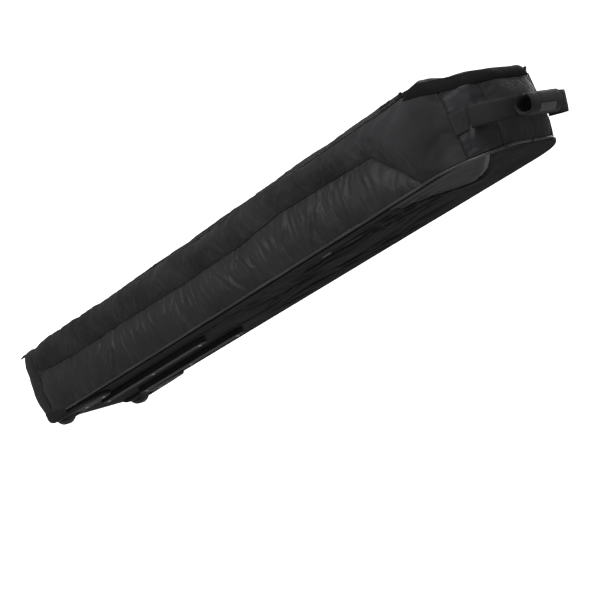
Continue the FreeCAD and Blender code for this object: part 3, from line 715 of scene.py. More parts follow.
def nose_path(s):
    """Five even steps up to just above the storm flap's lower edge."""
    x, _, _, _ = outline(s)
    rim = np.interp(x, *RIM) + 3
    heights = FOOT + (rim[:, None] - FOOT) * np.linspace(0, 1, 5)[None, :]
    return np.zeros_like(heights), heights


def tail_path(s):
    x, _, nx, ny = outline(s)
    heights = per_column(x, FOOT, 60, 130, 172, 193, 201, 203)
    heights[:, 3:] -= (6 * (1 - np.clip(-nx, 0, 1)) * np.clip(-ny, 0, 1))[:, None]
    return per_column(x, 0, 1, 0, -3, -11, -24, -34), heights


# Near side: a lower panel that ends in a point where the seam drops to the base, and an upper one.
s = near_s(np.linspace(SIDE_START, SEAM_END, 380))
folds = seam_folds(30, 230, 1300, -78, 11, 112)
folds += [(340, 60, 1.2, 70, 5, 2.2), (820, 44, 1.9, 80, 6, 2.4), (1100, 62, 1.3, 90, 6, 2.6)]
near_lower = wall_panel("near_lower", s, 34, LOWER, 3.0, 3.0, 21, folds, ["side_lower_near"],
                        top=np.interp(outline(s)[0], *SEAM))
s = near_s(np.linspace(SIDE_START, 1574, 420))
near_upper = wall_panel("near_upper", s, 34, UPPER, 1.5, 2.4, 31, seam_folds(44, 180, 1440, 62, 12, 0),
                        ["side_upper_near"], path=near_top_path(s))

# Nose: satin walls wrap from the near seam round to the far one, with the end in ballistic cloth.
S_NEAR = float(near_s(NOSE_SEAM))
END_NEAR, END_FAR = MARKS[2] - 50, MARKS[3] + 50
HINGE_END = MARKS[3] + NOSE_R * math.asin((HINGE_Y - NOSE_Y) / NOSE_R)
s = np.linspace(S_NEAR, END_NEAR, 40)
folds = [(S_NEAR + 40, 70, 1.4, 70, 5, 2.0), (S_NEAR + 85, 95, 1.8, 60, 5, 1.8)]
nose_near = wall_panel("nose_wall_near", s, 30, SATIN, 2.0, 2.0, 41, folds, ["nose_end_panel"],
                       path=nose_path(s))
s = np.linspace(END_NEAR, END_FAR, 50)
nose_end = wall_panel("nose_wall_end", s, 30, BALLISTIC, 1.5, 1.5, 43, (), path=nose_path(s))
s = np.linspace(END_FAR, HINGE_END, 16)
wall_panel("nose_wall_far", s, 30, SATIN, 1.0, 1.5, 45, (), path=nose_path(s), simulate=False)

# Beyond the end of the hinge the wall rises to the hinge line itself.
s = np.linspace(HINGE_END, MARKS[4] + 1, 40)
share = np.clip((s - HINGE_END) / (MARKS[4] - HINGE_END), 0, 1)
inner_x = 1609 - (1609 - NOSE_X) * share
top = hinge_height(inner_x)
wall = column(s, np.zeros((len(s), 4)), per_column(s, FOOT, 60, FAR_SEAM, top - 40 * share - 6))
inner = join(inner_x, HINGE_Y + 0.5, top)
between = wall[:, -1] * 0.35 + inner * 0.65
between[:, 2] = top - 3 * share - 2
points = spline(np.concatenate([wall, between[:, None], inner[:, None]], axis=1), 40)
nose_far_corner = sheet_object("nose_far_corner", points, SATIN)
u = np.repeat(s[:, None], 40, axis=1)
push(nose_far_corner, outward(points, (1400, 0, 100)), 1.5 * lattice_noise(u, points[:, :, 2], 60, 47))
panels.append((nose_far_corner, ()))

# Far side.
s = np.linspace(MARKS[4], TAIL_FAR, 360)
folds = seam_folds(26, s[0] + 150, s[-1] - 150, -70, 15, 112)
far_lower = wall_panel("far_lower", s, 30, LOWER, 3.0, 3.0, 51, folds, ["side_lower_far"],
                       top=np.full_like(s, FAR_SEAM))
folds = seam_folds(28, s[0] + 120, s[-1] - 120, 60, 16, 0)
far_upper = wall_panel("far_upper", s, 34, UPPER, 1.5, 2.4, 55, folds, ["side_upper_far"], path=far_top_path(s))

# Tail end, wrapping both corners, and the fixed patch of top cloth behind the lid.
s = np.linspace(TAIL_FAR, TAIL_NEAR, 130)
folds = [(s[0] + 120, 80, 1.3, 90, 6, 2.2), (s[0] + 230, 120, 1.8, 90, 6, 2.0)]
wall_panel("tail_end", s, 46, UPPER, 1.0, 2.5, 61, folds, ["tail_end_panel"], path=tail_path(s))
gx, gy = np.meshgrid(np.linspace(20, 92, 20), np.linspace(-132, 122, 60), indexing="ij")
top_z = 203.5 + 1.2 * lattice_noise(gx, gy, 40, 65) - 5 * np.clip((-118 - gy) / 14, 0, 1)
top_z = top_z - 4 * np.clip((36 - gx) / 16, 0, 1)
panels.append((sheet_object("tail_top", join(gx, gy, top_z), LID), ()))

for piece, nodes in panels:
    thicken(piece, 6.5, LINING, 1)
    belong(piece, "bag", nodes)


# --- lid ---------------------------------------------------------------------------

SPINE_X, EDGE_Z = 1480.0, 197.2
LID_X, LID_END = 92.8, 1470


def lid_columns():
    """Control points from the lid's edge to its spine, one set for each column."""
    columns = []
    spine = np.array([SPINE_X, 0, 211.0])
    for x in np.linspace(LID_X, LID_END, 260):
        crown, middle = np.interp(x, *LID_CROWN), np.interp(x, *LID_MIDDLE)
        columns.append([(x, -128.5, EDGE_Z), (x, -124, 0.35 * 197 + 0.65 * crown), (x, -112, crown),
                        (x, -75, (crown + 2 * middle) / 3 + 1), (x, -35, middle), (x, 0, middle)])
    start = float(near_s(1478))
    for s in np.linspace(start, float(HINGE_END), 130):
        px, py, nx, ny = (float(item[0]) for item in outline(np.array([s])))
        mix = smooth(min(1.0, max(0.0, (s - start) / 60)))
        rim = float(np.interp(px, *RIM))
        back = float(np.interp(px, [1500, 1560, 1600, 1640], [17, 20, 13, 8])) if s < MARKS[2] else 8.0
        nose = [(1, rim - 3), (2, rim + 0.55 * back), (9, rim + back), (36, max(rim + back + 12, 177))]
        nose = [np.array([px - nx * inset, py - ny * inset, z]) for inset, z in nose]
        side = [np.array([px, y, z]) for y, z in ((-128.5, EDGE_Z), (-124, 202.0), (-112, 205), (-75, 209))]
        blend = [a * (1 - mix) + b * mix for a, b in zip(side, nose)]
        half = blend[-1] * 0.45 + spine * 0.55
        half[2] = blend[-1][2] * 0.42 + 212 * 0.58
        columns.append([*blend, half, spine])
    for x in np.linspace(1607, 1482, 30):
        share = (1607 - x) / 125
        edge = np.array([x, HINGE_Y - 0.5, float(hinge_height(x))])
        points = [edge + (spine - edge) * t for t in (0, 0.06, 0.18, 0.42, 0.72, 1)]
        for point, rise in zip(points, (0, 2, 6, 8, 4, 0)):
            point[2] += rise * share + 0.5 * rise * (1 - share)
        columns.append(points)
    for x in np.linspace(1476, LID_X, 260):
        top, middle = float(hinge_height(x)), np.interp(x, *LID_MIDDLE)
        columns.append([(x, HINGE_Y - 0.5, top), (x, 114, top + 1.5), (x, 92, (top + middle) / 2 + 1.5),
                        (x, 60, middle), (x, 25, middle + 0.3), (x, 0, middle)])
    return np.array(columns, float)


LID_ROWS = 26
lid_points = spline(lid_columns(), LID_ROWS)
lid_normals = grid_normals(lid_points)
lid_normals = np.where(lid_normals[:, :, 2:] < 0, -lid_normals, lid_normals)
steps = np.linspace(0, 1, LID_ROWS)[None, :]
upright = np.clip((steps - 0.7) / 0.3, 0, 1)[:, :, None]
lid_normals = lid_normals * (1 - upright) + np.array([0, 0, 1.0]) * upright
lx, ly = lid_points[:, :, 0], lid_points[:, :, 1]
lid_folds = random_folds(71, 34, (150, 1380), (-90, 90), (0.9, 2.2), (60, 160), (4, 8), (0.8, 2.2))
relief = 2.2 * lattice_noise(lx, ly, 140, 73) + 1.0 * lattice_noise(lx, ly, 45, 75) + creases(lx, ly, lid_folds)
puckers = 0.8 * lattice_noise(lx, ly, 12, 77) * np.exp(-steps * 9) * (1 - steps)
relief = relief * np.clip(steps / 0.12, 0, 1) + puckers
lid = sheet_object("lid", lid_points + lid_normals * relief[:, :, None], LID, (900, 0, -400))
# The two halves meet at the spine, where their points are welded; the edge stays sewn.
edge = np.zeros(lid_points.shape[:2], bool)
edge[:, 0] = edge[0] = edge[-1] = True
work = bmesh.new()
work.from_mesh(lid.data)
mark = work.verts.layers.int.new("sewn")
for vertex, held in zip(work.verts, edge.ravel()):
    vertex[mark] = int(held)
bmesh.ops.remove_doubles(work, verts=work.verts, dist=0.0004)
pinned = np.array([vertex[mark] for vertex in work.verts], bool)
work.to_mesh(lid.data)
work.free()
settle(lid, pinned, 3.0, -0.01, 14, 5.0)
thicken(lid, 6.0, LINING, 1)
belong(lid, "lid", ["lid_panel"])

# Binding tape covers the seams on the inside.
tape_x = np.linspace(72, 1410, 170)
spine_x = np.linspace(96, 1476, 170)
near_line, far_line = join(tape_x, -166, np.interp(tape_x, *SEAM) + 1.5), join(tape_x, 166, FAR_SEAM + 1.5)
for name, piece, path, inward, body, depth in (
        ("near_seam_tape", near_upper, near_line, (0, 1, 0), "bag", 7.6),
        ("far_seam_tape", far_upper, far_line, (0, -1, 0), "bag", 7.6),
        ("lid_seam_tape", lid, join(spine_x, 0, 214), (0, 0, -1), "lid", 6.9)):
    inward = np.array(inward, float)
    centres = np.where(inward != 0, surface(piece, path)[0], path)
    belong(ribbon(name, centres + inward * depth, inward, 16, 1.2, BAND, 0.3), body)

# A strip of cloth joins the lid to the far wall along the whole hinge.
gx, gy = np.meshgrid(np.linspace(93, 1606, 240), np.linspace(-9, 9, 13), indexing="ij")
gusset_z = hinge_height(gx) - 3.5 - 0.03 * gy ** 2 - 0.6 * np.abs(lattice_noise(gx, gy * 3, 24, 79))
gusset = sheet_object("hinge_gusset", join(gx, HINGE_Y + gy, gusset_z), LINING, (900, 0, -400))
thicken(gusset, 1.6, LINING)
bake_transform(gusset)

# Storm flap: the dark band that covers the zip round the nose.
s = np.linspace(float(near_s(1496)), HINGE_END - 60, 150)
drop = np.clip((s - s[0]) / 40, 0, 1)
flap_low = np.interp(outline(s)[0], *RIM) - 4 + 1.2 * bumps(s, 81, 30)
flap_high = flap_low + 13 + 17 * drop
steps = np.linspace(0, 1, 9)[None, :]
heights = flap_low[:, None] * (1 - steps) + flap_high[:, None] * steps
offsets = 3.2 + 2.2 * np.sin(np.pi * steps) + 0.9 * bumps(s, 83, 26)[:, None]
offsets = offsets - 9.5 * steps ** 2.5 * drop[:, None]
offsets = offsets - np.clip((1512 - outline(s)[0]) / 16, 0, 1)[:, None] * (14 * steps + 2)
flap = sheet_object("storm_flap", column(s, offsets, heights), BAND)
thicken(flap, 1.0, BAND, 1)
belong(flap, "lid", ["zip_storm_flap"])


# --- base ----------------------------------------------------------------------------

def half_width(x):
    nose = NOSE_Y + np.sqrt(np.maximum(NOSE_R ** 2 - np.clip(x - NOSE_X, 0, NOSE_R) ** 2, 0))
    tail = TAIL_Y + np.sqrt(np.maximum(TAIL_R ** 2 - np.clip(TAIL_R - x, 0, TAIL_R) ** 2, 0))
    return np.minimum(nose, tail)


def wheel_hole(point):
    return 17 < point[0] < 111 and 115 < abs(point[1]) < 143


# A fold of the base cloth sweeps from the nose's near corner across the base and back.
CREASE = np.array([(1628, -150), (1565, -76), (1502, -6), (1455, 30), (1433, 21), (1410, -23), (1388, -67),
                   (1352, -110)], float)
bx = np.concatenate([np.linspace(37, 41, 3), np.linspace(44, 1514, 340), np.linspace(1518, 1626, 34)])[:, None]
gx = np.repeat(bx, 84, axis=1)
gy = np.linspace(-1, 1, 84) * (half_width(bx) - 1.0 - 14 * np.clip((bx - 1560) / 66, 0, 1) ** 2)
gap = np.full(gx.shape, 1e9)
for (ax, ay), (cx, cy) in zip(CREASE[:-1], CREASE[1:]):
    dx, dy = cx - ax, cy - ay
    t = np.clip(((gx - ax) * dx + (gy - ay) * dy) / (dx ** 2 + dy ** 2), 0, 1)
    gap = np.minimum(gap, np.hypot(gx - ax - t * dx, gy - ay - t * dy))
base_folds = random_folds(91, 30, (640, 1380), (-120, 120), (-0.25, 0.25), (120, 320), (4, 9), (1.2, 3.4))
sag = 1.8 * lattice_noise(gx, gy, 120, 93) + 0.8 * lattice_noise(gx, gy, 38, 95) + creases(gx, gy, base_folds)
sag = sag - 5.0 * np.exp(-(gap / 7) ** 2) + 2.4 * np.exp(-((gap - 15) / 9) ** 2)
# The cloth lies flat at its rim and over the stiff tail end.
rim_fade = np.clip((half_width(bx) - np.abs(gy)) / 16, 0, 1)
slack = 1 - 0.75 * np.clip((640 - gx) / 80, 0, 1)
gz = 0.3 - np.clip(sag, -6, 2.6) * rim_fade * slack * 0.9
gz = np.where(gx < 620, np.maximum(gz, -0.6), gz)
base = sheet_object("base_cloth", join(gx, gy, gz), TARP, ABOVE, wheel_hole)
thicken(base, 2.2, TARP, 1)
# Between the fold and the near side, towards the nose, the base gets the lighter tarpaulin copy: painted light
# where that part of the base catches the light.
base.data.materials.append(PAINTED_LIGHT_TARP)
for polygon in base.data.polygons:
    x, y, _ = bag(polygon.center)
    if 1352 < x < 1628 and y < np.interp(x, *CREASE[::-1].T):
        polygon.material_index = 2
belong(base, "bag", ["base_tub"])

# Piping runs round the base from one tail corner to the other, and across the tail.
s = np.linspace(0, TURN, 640, endpoint=False)
px, py, _, ny = outline(s)
dip = -5.5 * np.clip((px - 1500) / 90, 0, 1) * np.clip(-ny + 0.3, 0, 1)
path = beside(s, base_offset(s, FOOT) + 2.2, 6.5 + dip + 0.5 * bumps(s, 97, 40))
for side, line in (("near", path[(px > 118) & (py <= 0)]), ("far", path[(px > 118) & (py > 0)][::-1])):
    belong(tube(f"base_piping_{side}", line, 2.9, PIPING), "bag", [f"base_piping_{side}"])
line = path[(px < 4) & (np.abs(path[:, 1]) < 94)]
line[:, 2] = 6.5
belong(tube("base_piping_tail", line, 2.9, PIPING), "bag")


# --- seams -------------------------------------------------------------------------

seam_x = np.linspace(70, SEAM_END, 400)
for name, piece, shift, end in (("near_seam_low", near_lower, -4.0, LENGTH),
                                ("near_seam_high", near_upper, 4.0, 1360)):
    x = seam_x[seam_x < end]
    stitches(name, piece, join(x, -167, np.interp(x, *SEAM) + shift))
x = np.linspace(70, SEAM_END, 300)
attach(tube("near_seam_cord", join(x, -166.5, np.interp(x, *SEAM)), 1.3, UPPER, 8), "bag")
x = np.linspace(70, 1512, 300)
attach(tube("far_seam_cord", join(x, 166.5, FAR_SEAM), 1.3, UPPER, 8), "bag")
for name, piece, shift in (("far_seam_low", far_lower, -4.0), ("far_seam_high", far_upper, 4.0)):
    stitches(name, piece, join(x, 167, FAR_SEAM + shift), 4.6)
for name, place, piece in (("nose_seam_near_a", S_NEAR + 4, nose_near),
                           ("nose_seam_near_b", S_NEAR + 9, nose_near),
                           ("nose_end_seam_a", END_NEAR + 4, nose_end),
                           ("nose_end_seam_b", END_FAR - 4, nose_end),
                           ("nose_seam_near_c", S_NEAR - 4, near_upper)):
    stitches(name, piece, beside(np.full(60, place), 2, np.linspace(8, 142, 60)))
for name, place, top in (("nose_near", S_NEAR, 150), ("nose_end_near", END_NEAR, 150),
                         ("nose_end_far", END_FAR, 150), ("nose_far", MARKS[4], 165),
                         ("tail_near", TAIL_NEAR, 165), ("tail_far", TAIL_FAR, 165)):
    s, heights = np.full(40, place), np.linspace(4, top, 40)
    path = beside(s, base_offset(s, heights) + 0.6, heights)
    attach(tube(f"seam_cord_{name}", path, 1.5, UPPER, 8), "bag")


# --- zip --------------------------------------------------------------------------------

TILT = math.radians(30)
ZIP_Y, ZIP_Z, ZIP_END = -140.0, 205 - 25 * math.tan(TILT), 1500
FACET_UP = np.array([0, -math.sin(TILT), math.cos(TILT)])
TOOTH = np.array([(-1, -1, 0), (1, -1, 0), (1, 1, 0), (-1, 1, 0),
                  (-0.7, -0.8, 1), (0.7, -0.8, 1), (0.7, 0.8, 1), (-0.7, 0.8, 1)])
TOOTH_FACES = [(0, 1, 5, 4), (1, 2, 6, 5), (2, 3, 7, 6), (3, 0, 4, 7), (4, 5, 6, 7), (3, 2, 1, 0)]
PITCH = 2.7


def facet(x, across, normal):
    """Points on the tilted strip that the zip lies on, measured from the zip's own line."""
    return join(x, ZIP_Y + across * math.cos(TILT) - normal * math.sin(TILT),
                ZIP_Z + across * math.sin(TILT) + normal * math.cos(TILT))


def zip_half(node, cloth, teeth_name, centres, along, normal, body):
    """The tape and the teeth of one half of a zip."""
    tape = sheet_object(f"{node}_cloth", cloth, TAPE, BELOW)
    thicken(tape, 0.8, TAPE)
    belong(tape, body, [node])
    teeth = scatter(teeth_name, centres, along, normal, (0.95, 1.25, 1.5), BLACK_METAL, TOOTH, TOOTH_FACES)
    belong(teeth, body)


for half, body, side, start, shift in (("wall", "bag", -1, 62, 0.0), ("lid", "lid", 1, 107, 1.35)):
    tx, ta = np.meshgrid(np.linspace(start, ZIP_END, 300), np.linspace(0.3, 15.5, 8), indexing="ij")
    wave = 0.35 * lattice_noise(tx, ta * 2, 14, 101 + side) * np.clip(ta / 6, 0, 1)
    centres = facet(np.arange(start + 2 + shift, ZIP_END - 2, PITCH), side * 1.55, 1.0)
    zip_half(f"zip_tape_{half}", facet(tx, side * ta, 0.7 + wave),
             f"zip_teeth_{half}", centres, (1, 0, 0), FACET_UP, body)
# Cross zip behind the lid's tail end.
for half, body, low, high, teeth_x, shift in (("wall", "bag", 79, 91.7, 90.3, 0),
                                              ("lid", "lid", LID_X, 105, 94.0, 1.35)):
    gx, gy = np.meshgrid(np.linspace(low, high, 7), np.linspace(-111, 120, 90), indexing="ij")
    centres = join(teeth_x, np.arange(-110, 119, PITCH) + shift, 206.0)
    zip_half(f"cross_zip_{half}", join(gx, gy, 205.7 + 0.25 * lattice_noise(gx, gy, 12, 107)),
             f"cross_teeth_{half}", centres, (0, 1, 0), (0, 0, 1), body)
# The webbing tab that stands out at the zip's tail end, and the two pulls.
t = np.linspace(0, 1, 30)
tab = ribbon("zip_tab", facet(62 - 64 * t, 0, 1.5 + 3 * t * t), FACET_UP, 19, 2.4, WEBBING, 0.3)
belong(tab, "bag", ["zip_end_tab"])
t = np.linspace(0, 1, 22)
for end, direction, centre in (("tail", 1, 120), ("nose", -1, 1480)):
    path = facet(centre + direction * (30 + 28 * t), 0, 8.8 - 0.6 * np.sin(math.pi * t))
    puller = ribbon(f"pull_loop_{end}", path, FACET_UP, 9.5, 3.4, WEBBING, 0.4)
    belong(puller, f"{end}_pull", [f"pull_grip_{end}"])


# --- haul strap, grip and handle ------------------------------------------------------

LEAN = math.radians(15)
ROOT_X, ROOT_Z = 1610.0, 80.0


def leaning(points):
    """Lean points of the haul strap down about its root line."""
    x, y, z = np.moveaxis(np.asarray(points, float), -1, 0)
    dx, dz = x - ROOT_X, z - ROOT_Z
    return join(ROOT_X + dx * math.cos(LEAN) + dz * math.sin(LEAN), y,
                ROOT_Z - dx * math.sin(LEAN) + dz * math.cos(LEAN))


strap_path = [(1610, -136.5), (1624, -136.8), (1638, -136), (1660, -128), (1676, -110), (1682, -85),
              (1682.5, -50), (1682.5, 0)]
strap_path += [(px, -py) for px, py in strap_path[-2::-1]]
flat = spline([(px, py, ROOT_Z) for px, py in strap_path], 160)
along = np.gradient(flat, axis=0)
out = join(-along[:, 1], along[:, 0], 0)
out = np.where((out[:, :1] * (flat[:, :1] - 1560) + out[:, 1:2] * flat[:, 1:2]) > 0, out, -out)
tips = leaning(flat)
strap = ribbon("haul_webbing", tips, leaning(flat + out) - tips, 45, 2.8, WEBBING, 0.3)
belong(strap, "haul_handle", ["haul_strap"])
for end, sign, root in (("near", -1, tips[:44]), ("far", 1, tips[-44:][::-1])):
    for level, offset in (("low", -18), ("high", 18)):
        shift = leaning((ROOT_X, 0, ROOT_Z + offset)) - (ROOT_X, 0, ROOT_Z)
        centres = even(root + shift + (0, sign * 1.9, 0), 4.0)
        thread = scatter(f"haul_stitch_{end}_{level}", centres, np.gradient(centres, axis=0), (0, sign, 0),
                         (1.4, 0.55, 0.4), THREAD)
        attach(thread, "haul_handle")
    # A sewn patch on the nose corner holds each end. Its lower corner is cut back, so that
    # the strap's corner clears it when the strap hangs down.
    x = np.linspace(1572, 1604, 24)
    s = near_s(x) if sign < 0 else far_s(x)
    rows = np.linspace(57, 103, 12)
    share = 1 - 0.34 * np.clip((80 - rows) / 23, 0, 1)
    points = beside(s[0] + (s - s[0])[:, None] * share, 3.4, rows)
    patch = sheet_object(f"haul_patch_{end}", points, WEBBING, (1400, 0, 80))
    thicken(patch, 2.0, WEBBING)
    belong(patch, "bag", [f"haul_anchor_{end}"])
    stitches(f"haul_patch_stitch_{end}", patch, [points[(3, 20)[u], (1, 10)[v]] for u, v in BOX_STITCH], 3.4)

grip_centre = leaning((1705, -34, ROOT_Z))
GRIP_LENGTH = 111


def grip_wrap(name, inner, thick, start, angle, body, node):
    """A padded piece bent round the grip, with bound edges."""
    angles = math.radians(start) - LEAN + np.radians(np.linspace(0, angle, 44))
    ys = grip_centre[1] + np.linspace(-GRIP_LENGTH / 2, GRIP_LENGTH / 2, 46)
    aa, yy = np.meshgrid(angles, ys, indexing="ij")
    i, j = np.indices(aa.shape)
    edge = np.minimum(np.minimum(i, 43 - i), np.minimum(j, 45 - j)) / 5
    radius = inner + thick + 1.4 * (np.clip(edge, 0, 1) ** 0.6 - 1) + 0.35 * lattice_noise(aa * 24, yy, 12, 111)
    points = join(grip_centre[0] + radius * np.cos(aa), yy, grip_centre[2] + radius * np.sin(aa))
    piece = sheet_object(name, points, GRIP, grip_centre)
    thicken(piece, thick * 0.9, GRIP, 1)
    belong(piece, body, [node])
    ring = np.concatenate([points[:, 0], points[-1, 1:-1], points[::-1, -1], points[0, -2:0:-1]])
    belong(tube(f"{name}_binding", ring, 1.15, WEBBING, 8, closed=True), body)


grip_wrap("grip_sleeve_pad", 17, 4, 60, 240, "haul_handle", "grip_sleeve")
grip_wrap("grip_cover_pad", 21.4, 3.0, -80, 145, "grip_cover", "grip_flap")

# Carry handle on the far side: padded webbing between two sewn patches.
HANDLE_Z = 144
handle_path = [(668, 167.5), (690, 167.8), (706, 169), (724, 180), (752, 191.5), (820, 193.5)]
handle_path += [(LENGTH - px, py) for px, py in handle_path[-2::-1]]
flat = spline([(px, py, HANDLE_Z) for px, py in handle_path], 120)
belong(ribbon("carry_webbing", flat, (0, 1, 0), 31, 2.8, WEBBING, 0.3), "bag", ["carry_handle"])
t = np.linspace(0, 1, 40)
path = join(760 + 120 * t, 192.5 + 0.8 * np.sin(math.pi * t), HANDLE_Z)
wrap = tube("carry_grip", path, 8.5 - 2.0 * np.abs(2 * t - 1) ** 6, GRIP, 24)
belong(wrap, "bag")
for end, low in (("tail", 664), ("nose", 938)):
    gx, gz = np.meshgrid(np.linspace(low, low + 38, 12), np.linspace(127, 161, 12), indexing="ij")
    patch = sheet_object(f"carry_patch_{end}", join(gx, 169.2, gz), WEBBING)
    thicken(patch, 2.0, WEBBING)
    belong(patch, "bag", [f"carry_anchor_{end}"])
    box = [(low + (4, 34)[u], 169.2, (131, 157)[v]) for u, v in BOX_STITCH]
    stitches(f"carry_stitch_{end}", patch, box, 3.4)


# --- inside ---------------------------------------------------------------------------

def well_hole(point):
    return point[0] < 118 and 108 < abs(point[1]) < 150


gx = np.concatenate([np.linspace(11, 40, 10), np.linspace(46, 1514, 250), np.linspace(1520, 1594, 16)])[:, None]
gx = np.repeat(gx, 54, axis=1)
gy = np.linspace(-1, 1, 54) * (half_width(gx) - 10.5)
quilt = np.abs(np.sin(gx / 60 * math.pi) * np.sin(gy / 54 * math.pi)) ** 0.4
quilt = quilt * np.clip((half_width(gx) - 12 - np.abs(gy)) / 20, 0, 1)
gz = 12.4 + 1.6 * quilt + 0.5 * lattice_noise(gx, gy, 40, 121)
pad = sheet_object("floor_quilt", join(gx, gy, gz), LINING, BELOW, well_hole)
thicken(pad, 5.0, LINING, 1)
belong(pad, "bag", ["floor_padding"])
for end, centre in (("tail", 470), ("nose", 1090)):
    y = np.linspace(-152, 152, 60)
    path = join(centre + 1.5 * np.sin(y / 40), y, 16.2 + 0.5 * np.cos(y / 23))
    strap = ribbon(f"board_strap_{end}", path, (0, 0, 1), 37, 1.6, WEBBING, 0.2)
    belong(strap, "bag", [f"floor_strap_{end}"])
    y = np.linspace(-27, 27, 40)
    half = np.interp(np.abs(y), [0, 8, 16, 22, 27], [16, 20, 21.5, 21, 17])
    crown = 23.6 - 1.2 * (np.abs(y) < 9)
    profile = [(-1, 17.2), (-1, 20), (-0.75, 22.6), (0, crown), (0.75, 22.6), (1, 20), (1, 17.2)]
    points = np.stack([join(centre + half * share, y, z) for share, z in profile], axis=1)
    buckle = sheet_object(f"board_buckle_{end}", points, PLASTIC, (centre, 0, 10))
    thicken(buckle, 1.6, PLASTIC, 1)
    belong(buckle, "bag", [f"floor_buckle_{end}"])


# --- moulded corner housings ---------------------------------------------------------------

def rounded_loop(corners, radii, first):
    """A closed loop of straight runs and round corners, sampled evenly from near a first place."""
    points = []
    corners = np.array(corners, float)
    for index, radius in enumerate(radii):
        before, corner, after = corners[index - 1], corners[index], corners[(index + 1) % len(corners)]
        start = corner + (before - corner) / np.linalg.norm(before - corner) * radius
        end = corner + (after - corner) / np.linalg.norm(after - corner) * radius
        for t in np.linspace(0, 1, 9):
            points.append((1 - t) ** 2 * start + 2 * t * (1 - t) * corner + t * t * end)
    points = np.array([*points, points[0]])
    step = distances(points)
    stops = np.linspace(0, step[-1], 168, endpoint=False)
    loop = np.stack([np.interp(stops, step, points[:, axis]) for axis in range(2)], axis=1)
    return np.roll(loop, -np.argmin(np.hypot(*(loop - first).T)), axis=0)


# Rings of one shoe, from its outer rim down, under the corner and up the walls of the wheel well.
shoe_loop = rounded_loop([(6, 96), (118, 96), (254, 112), (254, 147), (124, 162), (6, 162)],
                         [14, 30, 15, 15, 30, 34], (6, 110))
well_loop = rounded_loop([(15, 113.2), (113, 113.2), (113, 144.8), (15, 144.8)], [6, 6, 6, 6], (15, 118))
well_middle = well_loop.mean(axis=0)
inwards = unit(shoe_loop.mean(axis=0) - shoe_loop)
rim_loop = well_loop + (well_loop - well_middle) / 34 * 2.2
rings = [(shoe_loop + inwards * inset, z) for inset, z in ((0, 1.5), (0, -3), (1, -6), (3.2, -8.2), (7, -9))]
rings += [(0.5 * rings[-1][0] + 0.5 * rim_loop, -9), (rim_loop, -9.4)]
rings += [(well_loop, z) for z in (-8.6, 0, 24, 48, 68)]
rings += [(well_loop * 0.8 + well_middle * 0.2, 71.5), (well_loop * 0.05 + well_middle * 0.95, 72)]
shell = np.stack([join(*loop.T, z) for loop, z in rings], axis=1)
shell[:, :, 2] += tail_round(shell[:, :, 0]) * (shell[:, :, 2] < 20)
shell = np.concatenate([shell, shell[:1]], axis=0)
for end, sign in (("near", -1), ("far", 1)):
    shoe = sheet_object(f"corner_shoe_{end}", shell * (1, sign, 1), PLASTIC, (100, sign * 129, 1e5))
    thicken(shoe, 2.2, PLASTIC, 1)
    belong(shoe, "bag", [f"wheel_housing_{end}"])
    first, last = (TURN - LEGS[7] - 30, TURN + 80) if sign < 0 else (MARKS[5] - 80, MARKS[6] + 30)
    s = np.linspace(first, last, 90)
    rise = np.clip(np.minimum(s - s[0], s[-1] - s) / 14, 0, 1)[:, None] ** 0.5
    lift = 9 * np.clip(-outline(s)[2], 0, 1)[:, None] ** 2
    heights = np.array([-4, -3, 2, 9, 17, 23, 24.5]) * (0.35 + 0.65 * rise)
    heights = heights + lift * np.array([1.2, 1.1, 1, 1, 1, 1, 1])
    points = column(s, np.tile([-5.0, 0.5, 2.4, 2.9, 2.9, 2.2, 0.2], (90, 1)), heights)
    lip = sheet_object(f"corner_lip_{end}", spline(points, 22), PLASTIC)
    thicken(lip, 1.8, PLASTIC, 1)
    belong(lip, "bag")
    # Piping up the tail corner.
    heights = np.linspace(24, 176, 60)
    s = np.full(60, TURN - LEGS[7] * 0.62 if sign < 0 else MARKS[5] + LEGS[5] * 0.62)
    off = base_offset(s, heights) + 1.6 - 9 * np.clip((heights - 160) / 20, 0, 1) ** 2
    belong(tube(f"tail_piping_{end}", beside(s, off, heights), 2.1, PIPING), "bag")


# --- carried-over hard parts ------------------------------------------------------------

# What each kind of CAD node is made of, and how far its edges are rounded in millimetres.
FINISHES = {"axle": (STEEL, 0.3), "wheel_tyre": (URETHANE, 2.2), "wheel_hub": (HUB, 1.2),
            "wheel_bearings": (STEEL, 0.4), "skid_rail": (PLASTIC, 3.2), "housing_screws": (STEEL, 0.6),
            "rail_screws": (STEEL, 0.6), "stiffener_board": (BOARD, 0.8), "slider_pull": (BLACK_METAL, 0.4),
            "slider_tail": (BLACK_METAL, 0.6), "slider_nose": (BLACK_METAL, 0.6), "label_patch": (RUBBER, 0.3)}
for name, piece in frame["nodes"].items():
    for start, (material, width) in FINISHES.items():
        if name.startswith(start):
            piece.data.materials.clear()
            piece.data.materials.append(material)
            rounded = piece.modifiers.new("rounded", "BEVEL")
            rounded.width = width / 1000
            rounded.segments = 3
            rounded.limit_method = "ANGLE"
            rounded.angle_limit = math.radians(35)


# --- studio -------------------------------------------------------------------------------

def switch(tree, test, first, second, output):
    """Choose between two shaders and send the result to the material or world output."""
    mix = add(tree, "ShaderNodeMixShader")
    tree.links.new(test, mix.inputs["Fac"])
    tree.links.new(first, mix.inputs[1])
    tree.links.new(second, mix.inputs[2])
    tree.links.new(mix.outputs["Shader"], tree.nodes[output].inputs["Surface"])


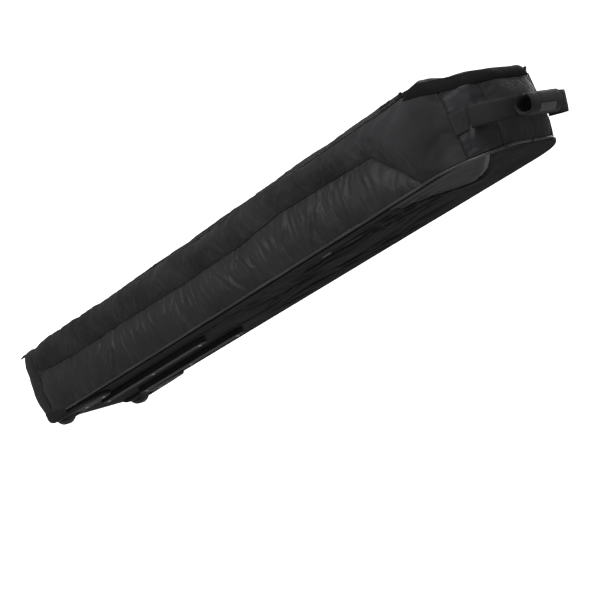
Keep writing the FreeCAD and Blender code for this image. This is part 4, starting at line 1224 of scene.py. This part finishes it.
FLOOR = 60.0
floor_mesh = bpy.data.meshes.new("floor")
floor_mesh.from_pydata([(-FLOOR, -FLOOR, 0), (FLOOR, -FLOOR, 0), (FLOOR, FLOOR, 0), (-FLOOR, FLOOR, 0)], [],
                       [(0, 1, 2, 3)])
floor = bpy.data.objects.new("floor", floor_mesh)
bpy.context.scene.collection.objects.link(floor)
floor_material, tree, principled = shader("pale_floor", (0.30, 0.30, 0.30), 0.9, specular=0.0)
principled.inputs["Emission Color"].default_value = (1, 1, 1, 1)
principled.inputs["Emission Strength"].default_value = 0.66
# From below the floor is clear, as the camera looks up at the base through it.
clear = add(tree, "ShaderNodeBsdfTransparent")
switch(tree, add(tree, "ShaderNodeNewGeometry").outputs["Backfacing"], principled.outputs["BSDF"],
       clear.outputs["BSDF"], "Material Output")
floor_mesh.materials.append(floor_material)
floor.visible_shadow = floor.visible_diffuse = floor.visible_glossy = False

world = bpy.data.worlds.new("studio")
bpy.context.scene.world = world
world.use_nodes = True
tree = world.node_tree
background = tree.nodes["Background"]
background.inputs["Color"].default_value = (1, 1, 1, 1)
background.inputs["Strength"].default_value = 0.36
white = add(tree, "ShaderNodeBackground", Strength=2.0)
switch(tree, add(tree, "ShaderNodeLightPath").outputs["Is Camera Ray"], background.outputs["Background"],
       white.outputs["Background"], "World Output")


def softbox(name, place, target, size, power):
    light = bpy.data.lights.new(name, "AREA")
    light.energy = power
    light.shape = "RECTANGLE"
    light.size, light.size_y = size
    lamp = bpy.data.objects.new(name, light)
    bpy.context.scene.collection.objects.link(lamp)
    lamp.location = Vector(row(place))
    aim = Vector(row(target)) - lamp.location
    lamp.rotation_euler = aim.to_track_quat("-Z", "Y").to_euler()
    lamp.visible_camera = False


softbox("key", (2900, -1100, 2300), (900, 0, 100), (1.2, 0.8), 60)
softbox("front", (900, -2600, 900), (800, -160, 100), (2.0, 0.8), 30)
softbox("fill", (700, 2700, 1300), (800, 100, 100), (2.2, 1.2), 45)
softbox("under", (2300, -900, -1500), (1300, 0, 0), (1.6, 1.2), 7)

bpy.context.scene.view_settings.view_transform = "Standard"
